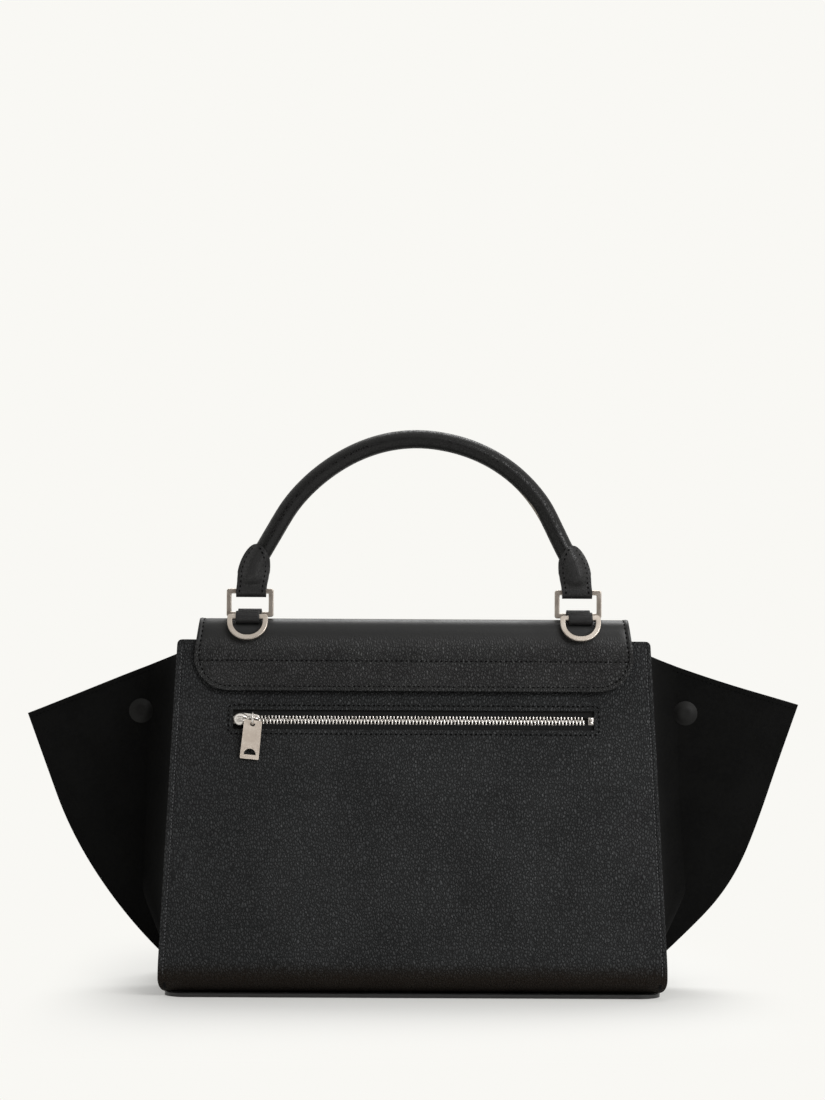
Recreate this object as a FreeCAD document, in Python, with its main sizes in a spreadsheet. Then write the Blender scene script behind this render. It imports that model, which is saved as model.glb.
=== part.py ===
"""A trapeze handbag: a leaning leather body with suede side wings, a flap over the top that carries a
rolled handle, and a zipped pocket on the back.

Frame: +X to the right of the zipped side, -Y out of the zipped side, +Z up. The origin is on the
ground under the middle of the bag. Millimetres.
"""

import FreeCAD
import Part
import Sketcher

import math
import os
import re

Vector = FreeCAD.Vector
Rotation = FreeCAD.Rotation
Placement = FreeCAD.Placement

X_AXIS = Vector(1, 0, 0)
Y_AXIS = Vector(0, 1, 0)
TINY = 1e-7
SIDES = ((-1, "left"), (1, "right"))
FACES = ((-1, "rear"), (1, "front"))

# Driving sizes, in millimetres, degrees for an angle, and plain numbers for a share.
SIZES = {
    # The body
    "body_bottom_width": 302.5,  # width of the panels at the ground
    "body_top_width": 287,  # width of the panels at their top edge
    "body_height": 212,  # top edge of the panels above the ground
    "base_depth": 150,  # depth across the panels' lower corners, before they are rounded
    "top_depth": 66,  # depth across the panels at their top edge
    "panel_leather": 2.0,  # thickness of the rear and front panels
    "bottom_round": 18,  # outside radius where a panel turns under
    "turn_under": 24,  # how far a panel runs in under the bag
    "lower_corner_round": 8,  # radius of a panel's lower corners, seen from the front
    "upper_corner_round": 3,  # radius of a panel's upper corners, seen from the front
    "seam_gap": 0.1,  # clearance between layers that are sewn or glued together
    "soft_gap": 0.3,  # clearance between soft pieces that bend or move
    "cut_overrun": 12,  # how far a cut runs past what it cuts
    "full_round_share": 0.96,  # radius of a nearly round end, as a share of half its width
    "base_leather": 2.2,  # thickness of the base panel
    "base_inset": 10,  # how far the base stays inside the panels' lower corners
    "base_side_inset": 5,  # how far the base stays inside the panels' sides
    "base_corner_round": 10,  # radius of the base panel's corners
    "board_thickness": 2.5,  # thickness of the stiffening board over the base
    "board_margin": 4,  # gap from the board to the panels' turned ends and the side walls
    "gusset_leather": 1.6,  # thickness of the side walls
    "gusset_inset": 5,  # how far the side walls stand inside the panels' edges
    "gusset_drop": 9,  # how far the side walls stop below the panels' top edge
    "lining_fabric": 0.8,  # thickness of the lining
    "lining_offset": 3.6,  # room between a panel and the lining
    "lining_drop": 4,  # how far the lining stops below the panels' top edge
    "lining_round": 13,  # outside radius of the lining's lower corners
    "facing_height": 16,  # height of the leather facing inside each top edge
    # The wings and their press studs
    "wing_span": 476,  # width across the tips of the wings
    "wing_tip_drop": 33,  # drop from the top of a wing's root to its tip
    "wing_root_bottom": 12,  # height where a wing's lower edge meets the side wall
    "wing_bend_reach_share": 0.554,  # where the edge's rounded corner lies on the way from the root to the tip
    "wing_bend_rise_share": 0.285,  # how far up that corner lies on the way from the root's foot to the tip
    "wing_bend_share": 0.998,  # how much of the run from the root to that corner the rounding takes
    "wing_tip_round": 1.5,  # radius of the wing's tip
    "wing_suede": 1.3,  # thickness of one half of a wing
    "wing_hollow": 4.2,  # gap between the two halves of a wing
    "wing_welt_width": 4,  # width of the welt sewn between the halves along the edge
    "wing_welt_setback": 1.0,  # how far the welt stays inside the wing's edge
    "wing_slot_room": 1.0,  # room beside a wing's root in the side wall
    "snap_reach": 27.4,  # distance from a wing's root to its press stud
    "snap_drop": 35,  # drop from the top of the wing's root to the press stud
    "snap_cap_radius": 7.5,  # radius of the press stud's domed cap
    "snap_cap_height": 2.6,  # height of the dome
    "snap_cap_rim": 0.8,  # height of the cap's rim
    "snap_disc_radius": 5.2,  # radius of the socket and of the stud's flange
    "snap_disc": 0.9,  # thickness of the stud's flange and of the back disc
    "snap_shank_radius": 1.6,  # radius of the shanks through the suede
    "snap_shank_room": 0.2,  # clearance round a shank
    "snap_nub_radius": 1.7,  # radius of the stud's head
    "snap_back_radius": 6.0,  # radius of the back disc
    # The flap
    "flap_width": 266,  # width of the flap
    "flap_leather": 1.5,  # thickness of the flap's outer leather
    "flap_backing": 0.8,  # thickness of the flap's inner leather
    "flap_rear_drop": 31,  # drop from the panels' top edge to the flap's sewn lower edge on the back
    "flap_hinge_drop": 12.5,  # drop from the panels' top edge to the sewn line that the flap bends at
    "flap_rise": 13,  # rise from the panels' top edge to the top of the flap
    "flap_ridge_round": 9,  # outside radius of the flap's rear ridge
    "flap_front_round": 16,  # outside radius of the flap's front ridge
    "flap_rear_round": 15,  # radius of the sewn strip's lower corners
    "flap_front_gap": 2.2,  # room between the front panel and the flap
    "flap_front_drop": 112,  # drop from the panels' top edge to the flap's front edge
    "flap_front_corner": 26,  # radius of the flap's front corners
    # The rings and their leather loops
    "ring_spacing": 200,  # distance between the two handle rings
    "ring_width": 28.6,  # outside width of a handle ring
    "ring_height": 17.2,  # outside height of a handle ring
    "ring_bar": 3.0,  # width of the ring's bar, seen from the back
    "ring_depth": 2.6,  # depth of the ring's bar
    "ring_corner": 1.6,  # outside radius of the ring's corners
    "ring_edge": 0.5,  # rounding of a ring's edges
    "dring_spacing": 202,  # distance between the two strap rings
    "dring_width": 24.6,  # outside width of a strap ring
    "dring_height": 16.8,  # outside height of a strap ring
    "dring_bar": 3.2,  # width of the strap ring's bar
    "dring_corner": 2.0,  # outside radius at the ends of the straight bar
    "dring_loop_angle": -40,  # angle of the strap ring's loop forward of upright
    "dring_hang_angle": 23,  # angle that the strap ring hangs out from plumb
    "loop_leather": 1.3,  # thickness of the leather loops
    "loop_room": 0.3,  # clearance between a bar and its leather loop
    "ring_loop_width": 14.6,  # width of the leather loop round a handle ring
    "ring_loop_gap": 2.4,  # gap under a handle ring's bar between the two feet of its loop
    "dring_loop_width": 14.6,  # width of the leather loop round a strap ring
    # The handle and its tabs
    "handle_thickness": 11.3,  # diameter of the rolled handle
    "handle_core_share": 0.7,  # diameter of the handle's core, as a share of the handle's
    "handle_rise": 93.4,  # height of the handle's middle line over the rings' upper bars
    "handle_round": 91,  # radius of the handle's arch
    "handle_slope_share": 0.577,  # run over rise of the handle's straight sides
    "handle_knee_round": 20,  # radius of the bend inside each tab
    "handle_end_spacing": 197,  # distance between the handle's two ends
    "handle_end_height": 7.5,  # height of the handle's ends over the rings' upper bars
    "tab_width": 20,  # width of a handle tab
    "tab_height": 29,  # height of a handle tab over the ring's bar
    "tab_shoulder": 12,  # height where the tab reaches its full thickness
    "tab_wall": 1.4,  # leather round the handle inside a tab
    "tab_tip_width": 7,  # width of a tab's rounded tip
    "tab_tip_lean": 3.4,  # how far a tab's tip leans in towards the middle
    "tab_tip_round": 3.4,  # radius of a tab's upper corners
    "tab_edge": 1.2,  # rounding of a tab's outer edges
    "tab_shoulder_round": 12,  # radius of a tab's sides
    # The zip
    "zip_drop": 48,  # drop from the panels' top edge to the zip's middle line
    "window_length": 218,  # length of the zip's window
    "window_height": 12,  # height of the window
    "window_corner": 1.5,  # radius of the window's corners
    "tape_thickness": 0.6,  # thickness of the zip tape
    "tape_width": 11,  # width of each half of the tape
    "tape_overlap": 12,  # how far the tape runs past the window at each end
    "tooth_pitch": 2.08,  # pitch of the teeth along one row
    "tooth_width_share": 0.44,  # width of a tooth, as a share of the pitch
    "tooth_reach": 2.3,  # how far a tooth reaches from the middle line to the tape
    "tooth_bite": 0.7,  # how far a tooth reaches past the middle line
    "tooth_nose_share": 0.6,  # width of a tooth's nose, as a share of its width
    "tooth_depth": 2.2,  # depth of a tooth through the tape
    "stop_length": 3.6,  # length of the zip's end stops
    "slider_length": 14,  # length of the zip slider
    "slider_width": 8.8,  # width of the slider
    "slider_plate": 1.3,  # thickness of the slider's plate
    "slider_lip": 0.6,  # depth of the lips beside the teeth
    "slider_nose_round": 3.6,  # radius of the slider's rounded end
    "slider_room": 0.25,  # clearance between the slider and the teeth and tape
    "slider_start": 0.4,  # gap from the slider to the stop that it is closed against
    "bridge_length": 8.4,  # length of the slider's bridge
    "bridge_width": 1.6,  # width of the bridge
    "bridge_height": 5.0,  # height of the bridge over the slider's plate
    "bridge_bar": 1.2,  # thickness of the bridge's bar
    "link_radius": 3.4,  # middle radius of the link between slider and puller
    "link_wire": 0.65,  # radius of the link's wire
    "link_drop": 0.3,  # how far the link's middle hangs under the bridge's bar
    "link_shift_share": 0.16,  # the link's place along the bridge, as a share of its length
    "puller_width": 11.4,  # width of the puller's plate
    "puller_length": 23.4,  # length of the puller's plate
    "puller_plate": 1.3,  # thickness of the puller's plate
    "puller_corner": 0.7,  # radius of the puller's corners
    "puller_eye": 1.5,  # radius of the eye that the link passes through
    "puller_eye_setback": 2.4,  # distance from the puller's top edge to the eye
    "puller_room": 0.35,  # clearance between the puller's plate and the bridge
    "puller_moon": 3.7,  # radius of the half-round hole near the puller's end
    "puller_moon_setback": 2.6,  # distance from the puller's end to that hole's straight side
    "puller_swing_angle": 8,  # angle that the puller hangs aside
    # The pocket behind the zip
    "pocket_depth": 88,  # depth of the zipped pocket under its zip
    "pocket_sheet": 0.45,  # thickness of the pocket's fabric
    "pocket_room": 0.5,  # gap between the pocket's two sheets
    "pocket_top": 11,  # height of the pocket's rear sheet over the zip's middle line
    "pocket_mouth": 4,  # drop from the zip's middle line to the pocket's front sheet
    "pocket_margin": 8,  # how far the pocket runs past the window at each end
    # The turn lock
    "lock_rise": 20,  # rise from the flap's front edge to the turn lock
    "lock_plate_width": 32,  # width of the lock's plate on the flap
    "lock_plate_height": 20,  # height of that plate
    "lock_plate": 1.2,  # thickness of that plate
    "lock_plate_round": 6,  # radius of the plates' corners
    "lock_slot_width": 19,  # length of the plate's slot
    "lock_slot_height": 8,  # height of the slot
    "lock_base_width": 26,  # width of the lock's base on the front panel
    "lock_base_height": 15,  # height of the base
    "lock_base": 1.2,  # thickness of the base
    "lock_washer": 1.0,  # thickness of the washer behind the panel
    "lock_post_radius": 2.6,  # radius of the post that the knob turns on
    "lock_knob_length": 15,  # length of the knob
    "lock_knob_width": 6.4,  # width of the knob
    "lock_knob_height": 4.4,  # height of the knob
    "lock_knob_edge": 1.2,  # rounding of the knob's outer edges
    "lock_pin_radius": 1.3,  # radius of the post's tip inside the knob
    "lock_pin_room": 0.05,  # running clearance of the knob round the tip
    "lock_pin_length": 2.6,  # length of the tip
    "lock_screw_radius": 1.0,  # radius of the base's screws
    "lock_screw_room": 0.1,  # clearance round the screws
    "lock_screw_spacing": 19,  # distance between the base's two screws
    "lock_screw_head": 1.7,  # radius of a screw's head
    "lock_screw_rise": 0.5,  # height of a screw's head
}

doc = FreeCAD.newDocument("trapeze_bag")
sheet = doc.addObject("Spreadsheet::Sheet", "Sizes")
parts = []


def fill_sheet():
    """Writes the driving sizes into the spreadsheet, one alias a row."""
    for row, (alias, amount) in enumerate(SIZES.items(), start=1):
        sheet.set(f"A{row}", alias)
        sheet.set(f"B{row}", str(amount))
        sheet.setAlias(f"B{row}", alias)
    doc.recompute()


def bound(text):
    """An expression on the sheet's cells, from a formula that uses their bare names."""
    return re.sub(r"[a-z_]+", lambda word: f"Sizes.{word[0]}" if word[0] in SIZES else word[0], str(text))


def size(text):
    """The present value of a formula on the sheet's cells."""
    return float(sheet.evalExpression(bound(text)))


# Formulas that several pieces share.
FOOT = "(base_leather + seam_gap)"
SLOPE = f"((base_depth - top_depth) / 2 / (body_height - {FOOT}))"
SKEW = f"sqrt(1 + {SLOPE} ^ 2)"
TAPER = "((body_bottom_width - body_top_width) / 2 / body_height)"
FLAP = "(flap_leather + seam_gap + flap_backing)"
RING_BORE = "(sqrt(ring_bar ^ 2 + ring_depth ^ 2) / 2 + loop_room)"
DRING_BORE = "(sqrt(dring_bar ^ 2 + ring_depth ^ 2) / 2 + loop_room)"
TAPE_MIDDLE = "(panel_leather + seam_gap + tape_thickness / 2)"
CHAIN = "(window_length - 2 * stop_length)"
RING_REACH = f"(flap_ridge_round + seam_gap + {RING_BORE})"
DRING_REACH = f"(flap_ridge_round + seam_gap + {DRING_BORE} + loop_leather)"
ZIP_HEIGHT = "(body_height - zip_drop)"
FLAP_REAR = "(body_height - flap_rear_drop)"
FLAP_HINGE = "(body_height - flap_hinge_drop)"
FLAP_TOP = "(body_height + flap_rise)"
FLAP_EDGE = "(body_height - flap_front_drop)"
LOCK_HEIGHT = f"({FLAP_EDGE} + lock_rise)"
WALL_TOP = "(body_height - gusset_drop)"
WING_TIP = f"({WALL_TOP} - wing_tip_drop)"
SNAP_HEIGHT = f"({WALL_TOP} - snap_drop)"
BEND_HEIGHT = f"(wing_root_bottom + wing_bend_rise_share * ({WING_TIP} - wing_root_bottom))"


def half_depth(height, inside="0"):
    """Half the bag's depth at a height, on a face that lies so far inside the panels' outer face."""
    return f"(top_depth / 2 + {SLOPE} * (body_height - ({height})) - ({inside}) * {SKEW})"


def half_width(height):
    """Half the panels' width at a height."""
    return f"(body_bottom_width / 2 - {TAPER} * ({height}))"


def lifted(height, depth):
    """Height of a point that stands out from a panel's face by a depth."""
    return f"({height} + ({depth}) * {SLOPE} / {SKEW})"


def wall_face(height):
    """Distance from the middle to a side wall's outer face at a height."""
    return f"({half_width(height)} - gusset_inset)"


# Sketch and feature helpers.


def new_body(label):
    """An empty body that is one sub-part of the bag."""
    body = doc.addObject("PartDesign::Body", label)
    body.Label = label
    parts.append(body)
    return body


def sketch_on(body, name, role, along="0"):
    """A sketch on one of the body's own origin planes, moved along that plane's normal."""
    sketch = body.newObject("Sketcher::SketchObject", f"{body.Name}_{name}")
    plane = next(feature for feature in body.Origin.OriginFeatures if feature.Role == role)
    sketch.AttachmentSupport = [(plane, "")]
    sketch.MapMode = "FlatFace"
    sketch.setExpression("AttachmentOffset.Base.z", bound(along))
    return sketch


def bind(sketch, constraint, formula):
    """Adds a dimension to a sketch and ties it to the sheet."""
    index = sketch.addConstraint(constraint)
    sketch.setExpression(f"Constraints[{index}]", bound(formula))


def pin(sketch, geometry, point, across, up):
    """Fixes a point of the sketch at a place given by two formulas."""
    for kind, formula, axis in (("DistanceX", across, -2), ("DistanceY", up, -1)):
        amount = size(formula)
        if abs(amount) < TINY:
            sketch.addConstraint(Sketcher.Constraint("PointOnObject", geometry, point, axis))
        elif amount > 0:
            bind(sketch, Sketcher.Constraint(kind, -1, 1, geometry, point, amount), formula)
        else:
            bind(sketch, Sketcher.Constraint(kind, geometry, point, -1, 1, -amount), f"-({formula})")


def corner_arc(before, corner, after, radius):
    """The arc that rounds a corner: its start, its end, its centre and whether it turns left."""
    back = (before - corner).normalize()
    ahead = (after - corner).normalize()
    half_angle = back.getAngle(ahead) / 2
    reach = radius / math.tan(half_angle)
    middle = corner + (back + ahead).normalize() * (radius / math.sin(half_angle))
    left = (-back).cross(ahead).z > 0
    return corner + back * reach, corner + ahead * reach, middle, left


def trace(sketch, corners, closed):
    """Draws lines through the corners, each (across, up) or (across, up, radius), and rounds those with a
    radius. Every corner is fixed by formulas."""
    points = [Vector(size(corner[0]), size(corner[1]), 0) for corner in corners]
    count = len(points)
    starts = list(points)
    ends = list(points)
    arcs = {}
    for i, corner in enumerate(corners):
        if len(corner) == 3:
            arc = corner_arc(points[i - 1], points[i], points[(i + 1) % count], size(corner[2]))
            ends[i], starts[i] = arc[0], arc[1]
            arcs[i] = arc
    runs = count if closed else count - 1
    segments = [Part.LineSegment(starts[i], ends[(i + 1) % count]) for i in range(runs)]
    lines = [sketch.addGeometry(segment, False) for segment in segments]
    for i, corner in enumerate(corners):
        before = lines[i - 1] if closed or i else None
        after = lines[i] if i < runs else None
        if i in arcs:
            round_corner(sketch, before, after, corner, arcs[i])
        elif before is None:
            pin(sketch, after, 1, *corner)
        else:
            pin(sketch, before, 2, *corner)
            if after is not None:
                sketch.addConstraint(Sketcher.Constraint("Coincident", before, 2, after, 1))


def round_corner(sketch, before, after, corner, arc):
    """Joins two lines with a tangent arc, with the sharp corner kept as a fixed point on both."""
    start, end, middle, left = arc
    first, last = (start, end) if left else (end, start)
    angles = [math.atan2(point.y - middle.y, point.x - middle.x) for point in (first, last)]
    circle = Part.Circle(middle, Vector(0, 0, 1), (start - middle).Length)
    curve = sketch.addGeometry(Part.ArcOfCircle(circle, *angles), False)
    sharp = sketch.addGeometry(Part.Point(Vector(size(corner[0]), size(corner[1]), 0)), True)
    pin(sketch, sharp, 1, corner[0], corner[1])
    sketch.addConstraint(Sketcher.Constraint("PointOnObject", sharp, 1, before))
    sketch.addConstraint(Sketcher.Constraint("PointOnObject", sharp, 1, after))
    sketch.addConstraint(Sketcher.Constraint("Tangent", before, 2, curve, 1 if left else 2))
    sketch.addConstraint(Sketcher.Constraint("Tangent", curve, 2 if left else 1, after, 1))
    bind(sketch, Sketcher.Constraint("Radius", curve, size(corner[2])), corner[2])


def outline(sketch, corners):
    """Draws one closed outline."""
    trace(sketch, corners, closed=True)


def disc(sketch, across, up, radius):
    """Draws one circle."""
    circle = Part.Circle(Vector(size(across), size(up), 0), Vector(0, 0, 1), size(radius))
    geometry = sketch.addGeometry(circle, False)
    pin(sketch, geometry, 3, across, up)
    bind(sketch, Sketcher.Constraint("Radius", geometry, size(radius)), radius)


def block(left, right, bottom, top, radius=None):
    """The corners of an upright rectangle, rounded if a radius is given."""
    corners = [(left, bottom), (right, bottom), (right, top), (left, top)]
    return [(*corner, radius) for corner in corners] if radius else corners


def centred(width, height, radius=None, middle="0"):
    """The corners of a rectangle that is centred across, and at a height."""
    across = f"({width}) / 2"
    low, high = f"({middle}) - ({height}) / 2", f"({middle}) + ({height}) / 2"
    return block(f"-({across})", across, low, high, radius)


def pad(body, sketch, length):
    """Adds the sketch's area, half of the length to each side of its plane."""
    feature = body.newObject("PartDesign::Pad", f"{sketch.Name}_pad")
    feature.Profile = sketch
    feature.SideType = "Symmetric"
    feature.setExpression("Length", bound(length))
    doc.recompute()
    return feature


def cut(body, sketch, length=None):
    """Cuts the sketch's area out, right through or half of the length to each side of its plane."""
    before = body.Shape.Volume
    feature = body.newObject("PartDesign::Pocket", f"{sketch.Name}_cut")
    feature.Profile = sketch
    feature.SideType = "Symmetric"
    if length:
        feature.setExpression("Length", bound(length))
    else:
        feature.Type = "ThroughAll"
    doc.recompute()
    if not body.Shape.Volume < before:
        raise RuntimeError(f"{feature.Name} cuts nothing")
    return feature


def trim(body, name, role, corners, reach):
    """Keeps only what lies inside an outline, seen along the normal of one of the origin planes."""
    sketch = sketch_on(body, name, role)
    outline(sketch, centred(f"2 * ({reach})", f"2 * ({reach})"))
    outline(sketch, corners)
    return cut(body, sketch)


def fillet(body, radius, picks):
    """Rounds the edges of the body's tip that a test picks."""
    base = body.Tip
    names = [f"Edge{i}" for i, edge in enumerate(base.Shape.Edges, start=1) if picks(edge)]
    feature = body.newObject("PartDesign::Fillet", f"{body.Name}_round")
    feature.Base = (base, names)
    feature.setExpression("Radius", bound(radius))
    doc.recompute()
    return feature


def on_face(edge, axis, place):
    """Whether all of an edge lies at one place along an axis."""
    return all(abs(getattr(vertex.Point, axis) - place) < TINY * 100 for vertex in edge.Vertexes)


def plate(label, corners, middle, thickness, holes=()):
    """A flat body in the XZ plane, centred on a depth, with its holes as outlines or circles."""
    body = new_body(label)
    face = sketch_on(body, "face", "XZ_Plane", f"-({middle})")
    outline(face, corners)
    for hole in holes:
        if len(hole) == 3 and isinstance(hole[0], str):
            disc(face, *hole)
        else:
            outline(face, hole)
    pad(body, face, thickness)
    return body


def profile(label, corners, width):
    """A body with one section in the YZ plane, running across the bag."""
    body = new_body(label)
    section = sketch_on(body, "section", "YZ_Plane")
    outline(section, corners)
    pad(body, section, width)
    return body


def turned(label, corners):
    """A round body about the Y axis, from its half section: radius across, place along Y up."""
    body = new_body(label)
    section = sketch_on(body, "section", "XY_Plane")
    outline(section, corners)
    feature = body.newObject("PartDesign::Revolution", f"{label}_turn")
    feature.Profile = section
    feature.ReferenceAxis = (section, ["V_Axis"])
    feature.Angle = 360
    doc.recompute()
    return body


def lean_angle():
    """The angle that the panels lean in by, in degrees."""
    return math.degrees(math.atan(size(SLOPE)))


def on_panel(face, height, across="0"):
    """A placement on a panel's outer face: local Z runs up the leather and local Y across the bag."""
    place = Vector(size(across), face * size(half_depth(height)), size(height))
    return Placement(place, Rotation(X_AXIS, face * lean_angle()))


# The body of the bag.


def make_panel(face, label):
    """The rear or front panel: it leans in to the top and turns under at the foot."""
    inner_foot = f"{FOOT} + panel_leather"
    corners = [
        (f"{face} * {half_depth('body_height')}", "body_height"),
        (f"{face} * {half_depth(FOOT)}", FOOT, "bottom_round"),
        (f"{face} * ({half_depth(FOOT)} - turn_under)", FOOT),
        (f"{face} * ({half_depth(FOOT)} - turn_under)", inner_foot),
        (f"{face} * {half_depth(inner_foot, 'panel_leather')}", inner_foot, "bottom_round - panel_leather"),
        (f"{face} * {half_depth('body_height', 'panel_leather')}", "body_height"),
    ]
    body = profile(f"{label}_panel", corners, "body_bottom_width + cut_overrun")
    top, bottom = half_width("body_height"), half_width("0")
    front_view = [
        (f"-{bottom}", FOOT, "lower_corner_round"),
        (bottom, FOOT, "lower_corner_round"),
        (top, "body_height", "upper_corner_round"),
        (f"-{top}", "body_height", "upper_corner_round"),
    ]
    trim(body, "front_view", "XZ_Plane", front_view, "body_bottom_width + body_height")
    return body


def cut_window(body):
    """The zip's window in the rear panel."""
    sketch = sketch_on(body, "window", "XZ_Plane")
    outline(sketch, centred("window_length", "window_height", "window_corner", ZIP_HEIGHT))
    cut(body, sketch)


def cut_screw_holes(body):
    """The holes for the lock's screws in the front panel."""
    sketch = sketch_on(body, "screw_holes", "XZ_Plane")
    radius = f"lock_screw_radius + 2 * lock_screw_room + panel_leather * {SLOPE}"
    for side, _ in SIDES:
        disc(sketch, f"{side} * lock_screw_spacing / 2", LOCK_HEIGHT, radius)
    cut(body, sketch)


def make_base():
    """The base panel that the bag stands on, and the board over it."""
    depth = f"2 * ({half_depth(FOOT)} - base_inset)"
    base = new_body("base_panel")
    face = sketch_on(base, "face", "XY_Plane", "base_leather / 2")
    outline(face, centred("body_bottom_width - 2 * base_side_inset", depth, "base_corner_round"))
    pad(base, face, "base_leather")

    board_depth = f"2 * ({half_depth(FOOT)} - turn_under - board_margin)"
    board_width = f"2 * ({wall_face('body_height')} - gusset_leather - board_margin)"
    board = new_body("base_board")
    face = sketch_on(board, "face", "XY_Plane", f"{FOOT} + board_thickness / 2")
    outline(face, centred(board_width, board_depth, "base_corner_round / 2"))
    pad(board, face, "board_thickness")


def make_side_walls():
    """The suede side walls: a rear and a front half on each side, open between them behind the wing."""
    foot = f"{FOOT} + panel_leather + soft_gap"
    top = WALL_TOP
    inside = "panel_leather + soft_gap"
    slot = "(wing_hollow / 2 + wing_suede + wing_slot_room)"
    for side, side_name in SIDES:
        for face, face_name in FACES:
            corners = [
                (f"{face} * {half_depth(foot, inside)}", foot, "bottom_round - panel_leather - soft_gap"),
                (f"{face} * seam_gap / 2", foot),
                (f"{face} * seam_gap / 2", "wing_root_bottom - soft_gap"),
                (f"{face} * {slot}", "wing_root_bottom - soft_gap"),
                (f"{face} * {slot}", top),
                (f"{face} * {half_depth(top, inside)}", top),
            ]
            wall = profile(f"side_wall_{side_name}_{face_name}", corners, "gusset_leather")
            place = Vector(side * size(f"{wall_face('0')} - gusset_leather / 2"), 0, 0)
            wall.Placement = Placement(place, Rotation(Y_AXIS, -side * math.degrees(math.atan(size(TAPER)))))


def make_lining():
    """The lining, one sheet folded up from the base along both panels, and the facings at its top edge."""
    foot = f"({FOOT} + board_thickness + seam_gap)"
    top = "(body_height - lining_drop)"
    outside = "panel_leather + lining_offset"
    inside = f"{outside} + lining_fabric"
    inner_foot = f"({foot} + lining_fabric)"
    outer_round, inner_round = "lining_round", "lining_round - lining_fabric"
    corners = [
        (f"-{half_depth(top, outside)}", top),
        (f"-{half_depth(foot, outside)}", foot, outer_round),
        (half_depth(foot, outside), foot, outer_round),
        (half_depth(top, outside), top),
        (half_depth(top, inside), top),
        (half_depth(inner_foot, inside), inner_foot, inner_round),
        (f"-{half_depth(inner_foot, inside)}", inner_foot, inner_round),
        (f"-{half_depth(top, inside)}", top),
    ]
    width = f"2 * ({wall_face('body_height')} - gusset_leather - 2 * soft_gap)"
    profile("lining", corners, width)
    for face, face_name in FACES:
        thickness = "lining_offset - 2 * seam_gap"
        middle = f"{-face} * (panel_leather + lining_offset / 2)"
        corners = centred(width, "facing_height", middle="-facing_height / 2 - lining_drop")
        facing = plate(f"top_facing_{face_name}", corners, middle, thickness)
        facing.Placement = on_panel(face, "body_height")


# The wings.


def wing_root(height):
    """Distance from the middle to a wing's root at a height."""
    return f"({wall_face(height)} + soft_gap)"


def wing_place(side):
    """Where a right-hand wing goes: its root line stands on the side wall."""
    return Placement(Vector(0, 0, 0), Rotation(Vector(0, 0, 1), 0 if side > 0 else 180))


def bend_reach():
    """Distance from the middle to the corner that a wing's edge rounds."""
    root = wing_root("wing_root_bottom")
    return f"({root} + wing_bend_reach_share * (wing_span / 2 - {root}))"


def bend_round():
    """Radius of a wing's edge: the arc takes nearly all of the run from the root to the corner it rounds."""
    run = f"({bend_reach()} - {wing_root('wing_root_bottom')})"
    rise = f"({BEND_HEIGHT} - wing_root_bottom)"
    further, higher = f"(wing_span / 2 - {bend_reach()})", f"({WING_TIP} - {BEND_HEIGHT})"
    lower = f"sqrt({run} ^ 2 + {rise} ^ 2)"
    upper = f"sqrt({further} ^ 2 + {higher} ^ 2)"
    crossed = f"({run} * {higher} - {rise} * {further})"
    along = f"({run} * {further} + {rise} * {higher})"
    return f"(wing_bend_share * {lower} * ({lower} * {upper} + {along}) / {crossed})"


def snap_reach():
    """Distance from the middle to a wing's press stud."""
    return f"({wing_root(SNAP_HEIGHT)} + snap_reach)"


def make_wings():
    """Each wing: two suede halves, a welt between them along the edge, and a press stud at the root."""
    tip_reach = "wing_span / 2"
    shape = [
        (wing_root("wing_root_bottom"), "wing_root_bottom"),
        (bend_reach(), BEND_HEIGHT, bend_round()),
        (tip_reach, WING_TIP, "wing_tip_round"),
        (wing_root(WALL_TOP), WALL_TOP),
    ]
    hole = (snap_reach(), SNAP_HEIGHT, "snap_shank_radius + snap_shank_room")
    for side, side_name in SIDES:
        for face, face_name in FACES:
            middle = f"{side * face} * (wing_hollow + wing_suede) / 2"
            half = plate(f"wing_{side_name}_{face_name}", shape, middle, "wing_suede", [hole])
            half.Placement = wing_place(side)
        make_wing_welt(side, side_name)
        make_press_stud(side, side_name)


def make_wing_welt(side, side_name):
    """The narrow welt that the two halves of a wing are sewn to along their edge."""
    near, far = "wing_welt_setback", "(wing_welt_setback + wing_welt_width)"
    root = wing_root("wing_root_bottom")
    top = f"({WING_TIP} - wing_tip_round)"
    slant = f"(wing_span / 2 - {bend_reach()}) / ({WING_TIP} - {BEND_HEIGHT})"
    reach = f"(wing_span / 2 - {slant} * wing_tip_round)"
    corners = [
        (f"{root} - {near}", "wing_root_bottom"),
        (f"{bend_reach()} - {near}", BEND_HEIGHT, bend_round()),
        (f"{reach} - {near}", top),
        (f"{reach} - {far}", top),
        (f"{bend_reach()} - {far}", BEND_HEIGHT, bend_round()),
        (f"{root} - {far}", "wing_root_bottom"),
    ]
    welt = plate(f"wing_{side_name}_welt", corners, "0", "wing_hollow - 2 * seam_gap")
    end = sketch_on(welt, "root_end", "XZ_Plane")
    outline(end, block(f"{root} - cut_overrun", f"{root} + {near}", "0", WING_TIP))
    cut(welt, end)
    welt.Placement = wing_place(side)


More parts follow.
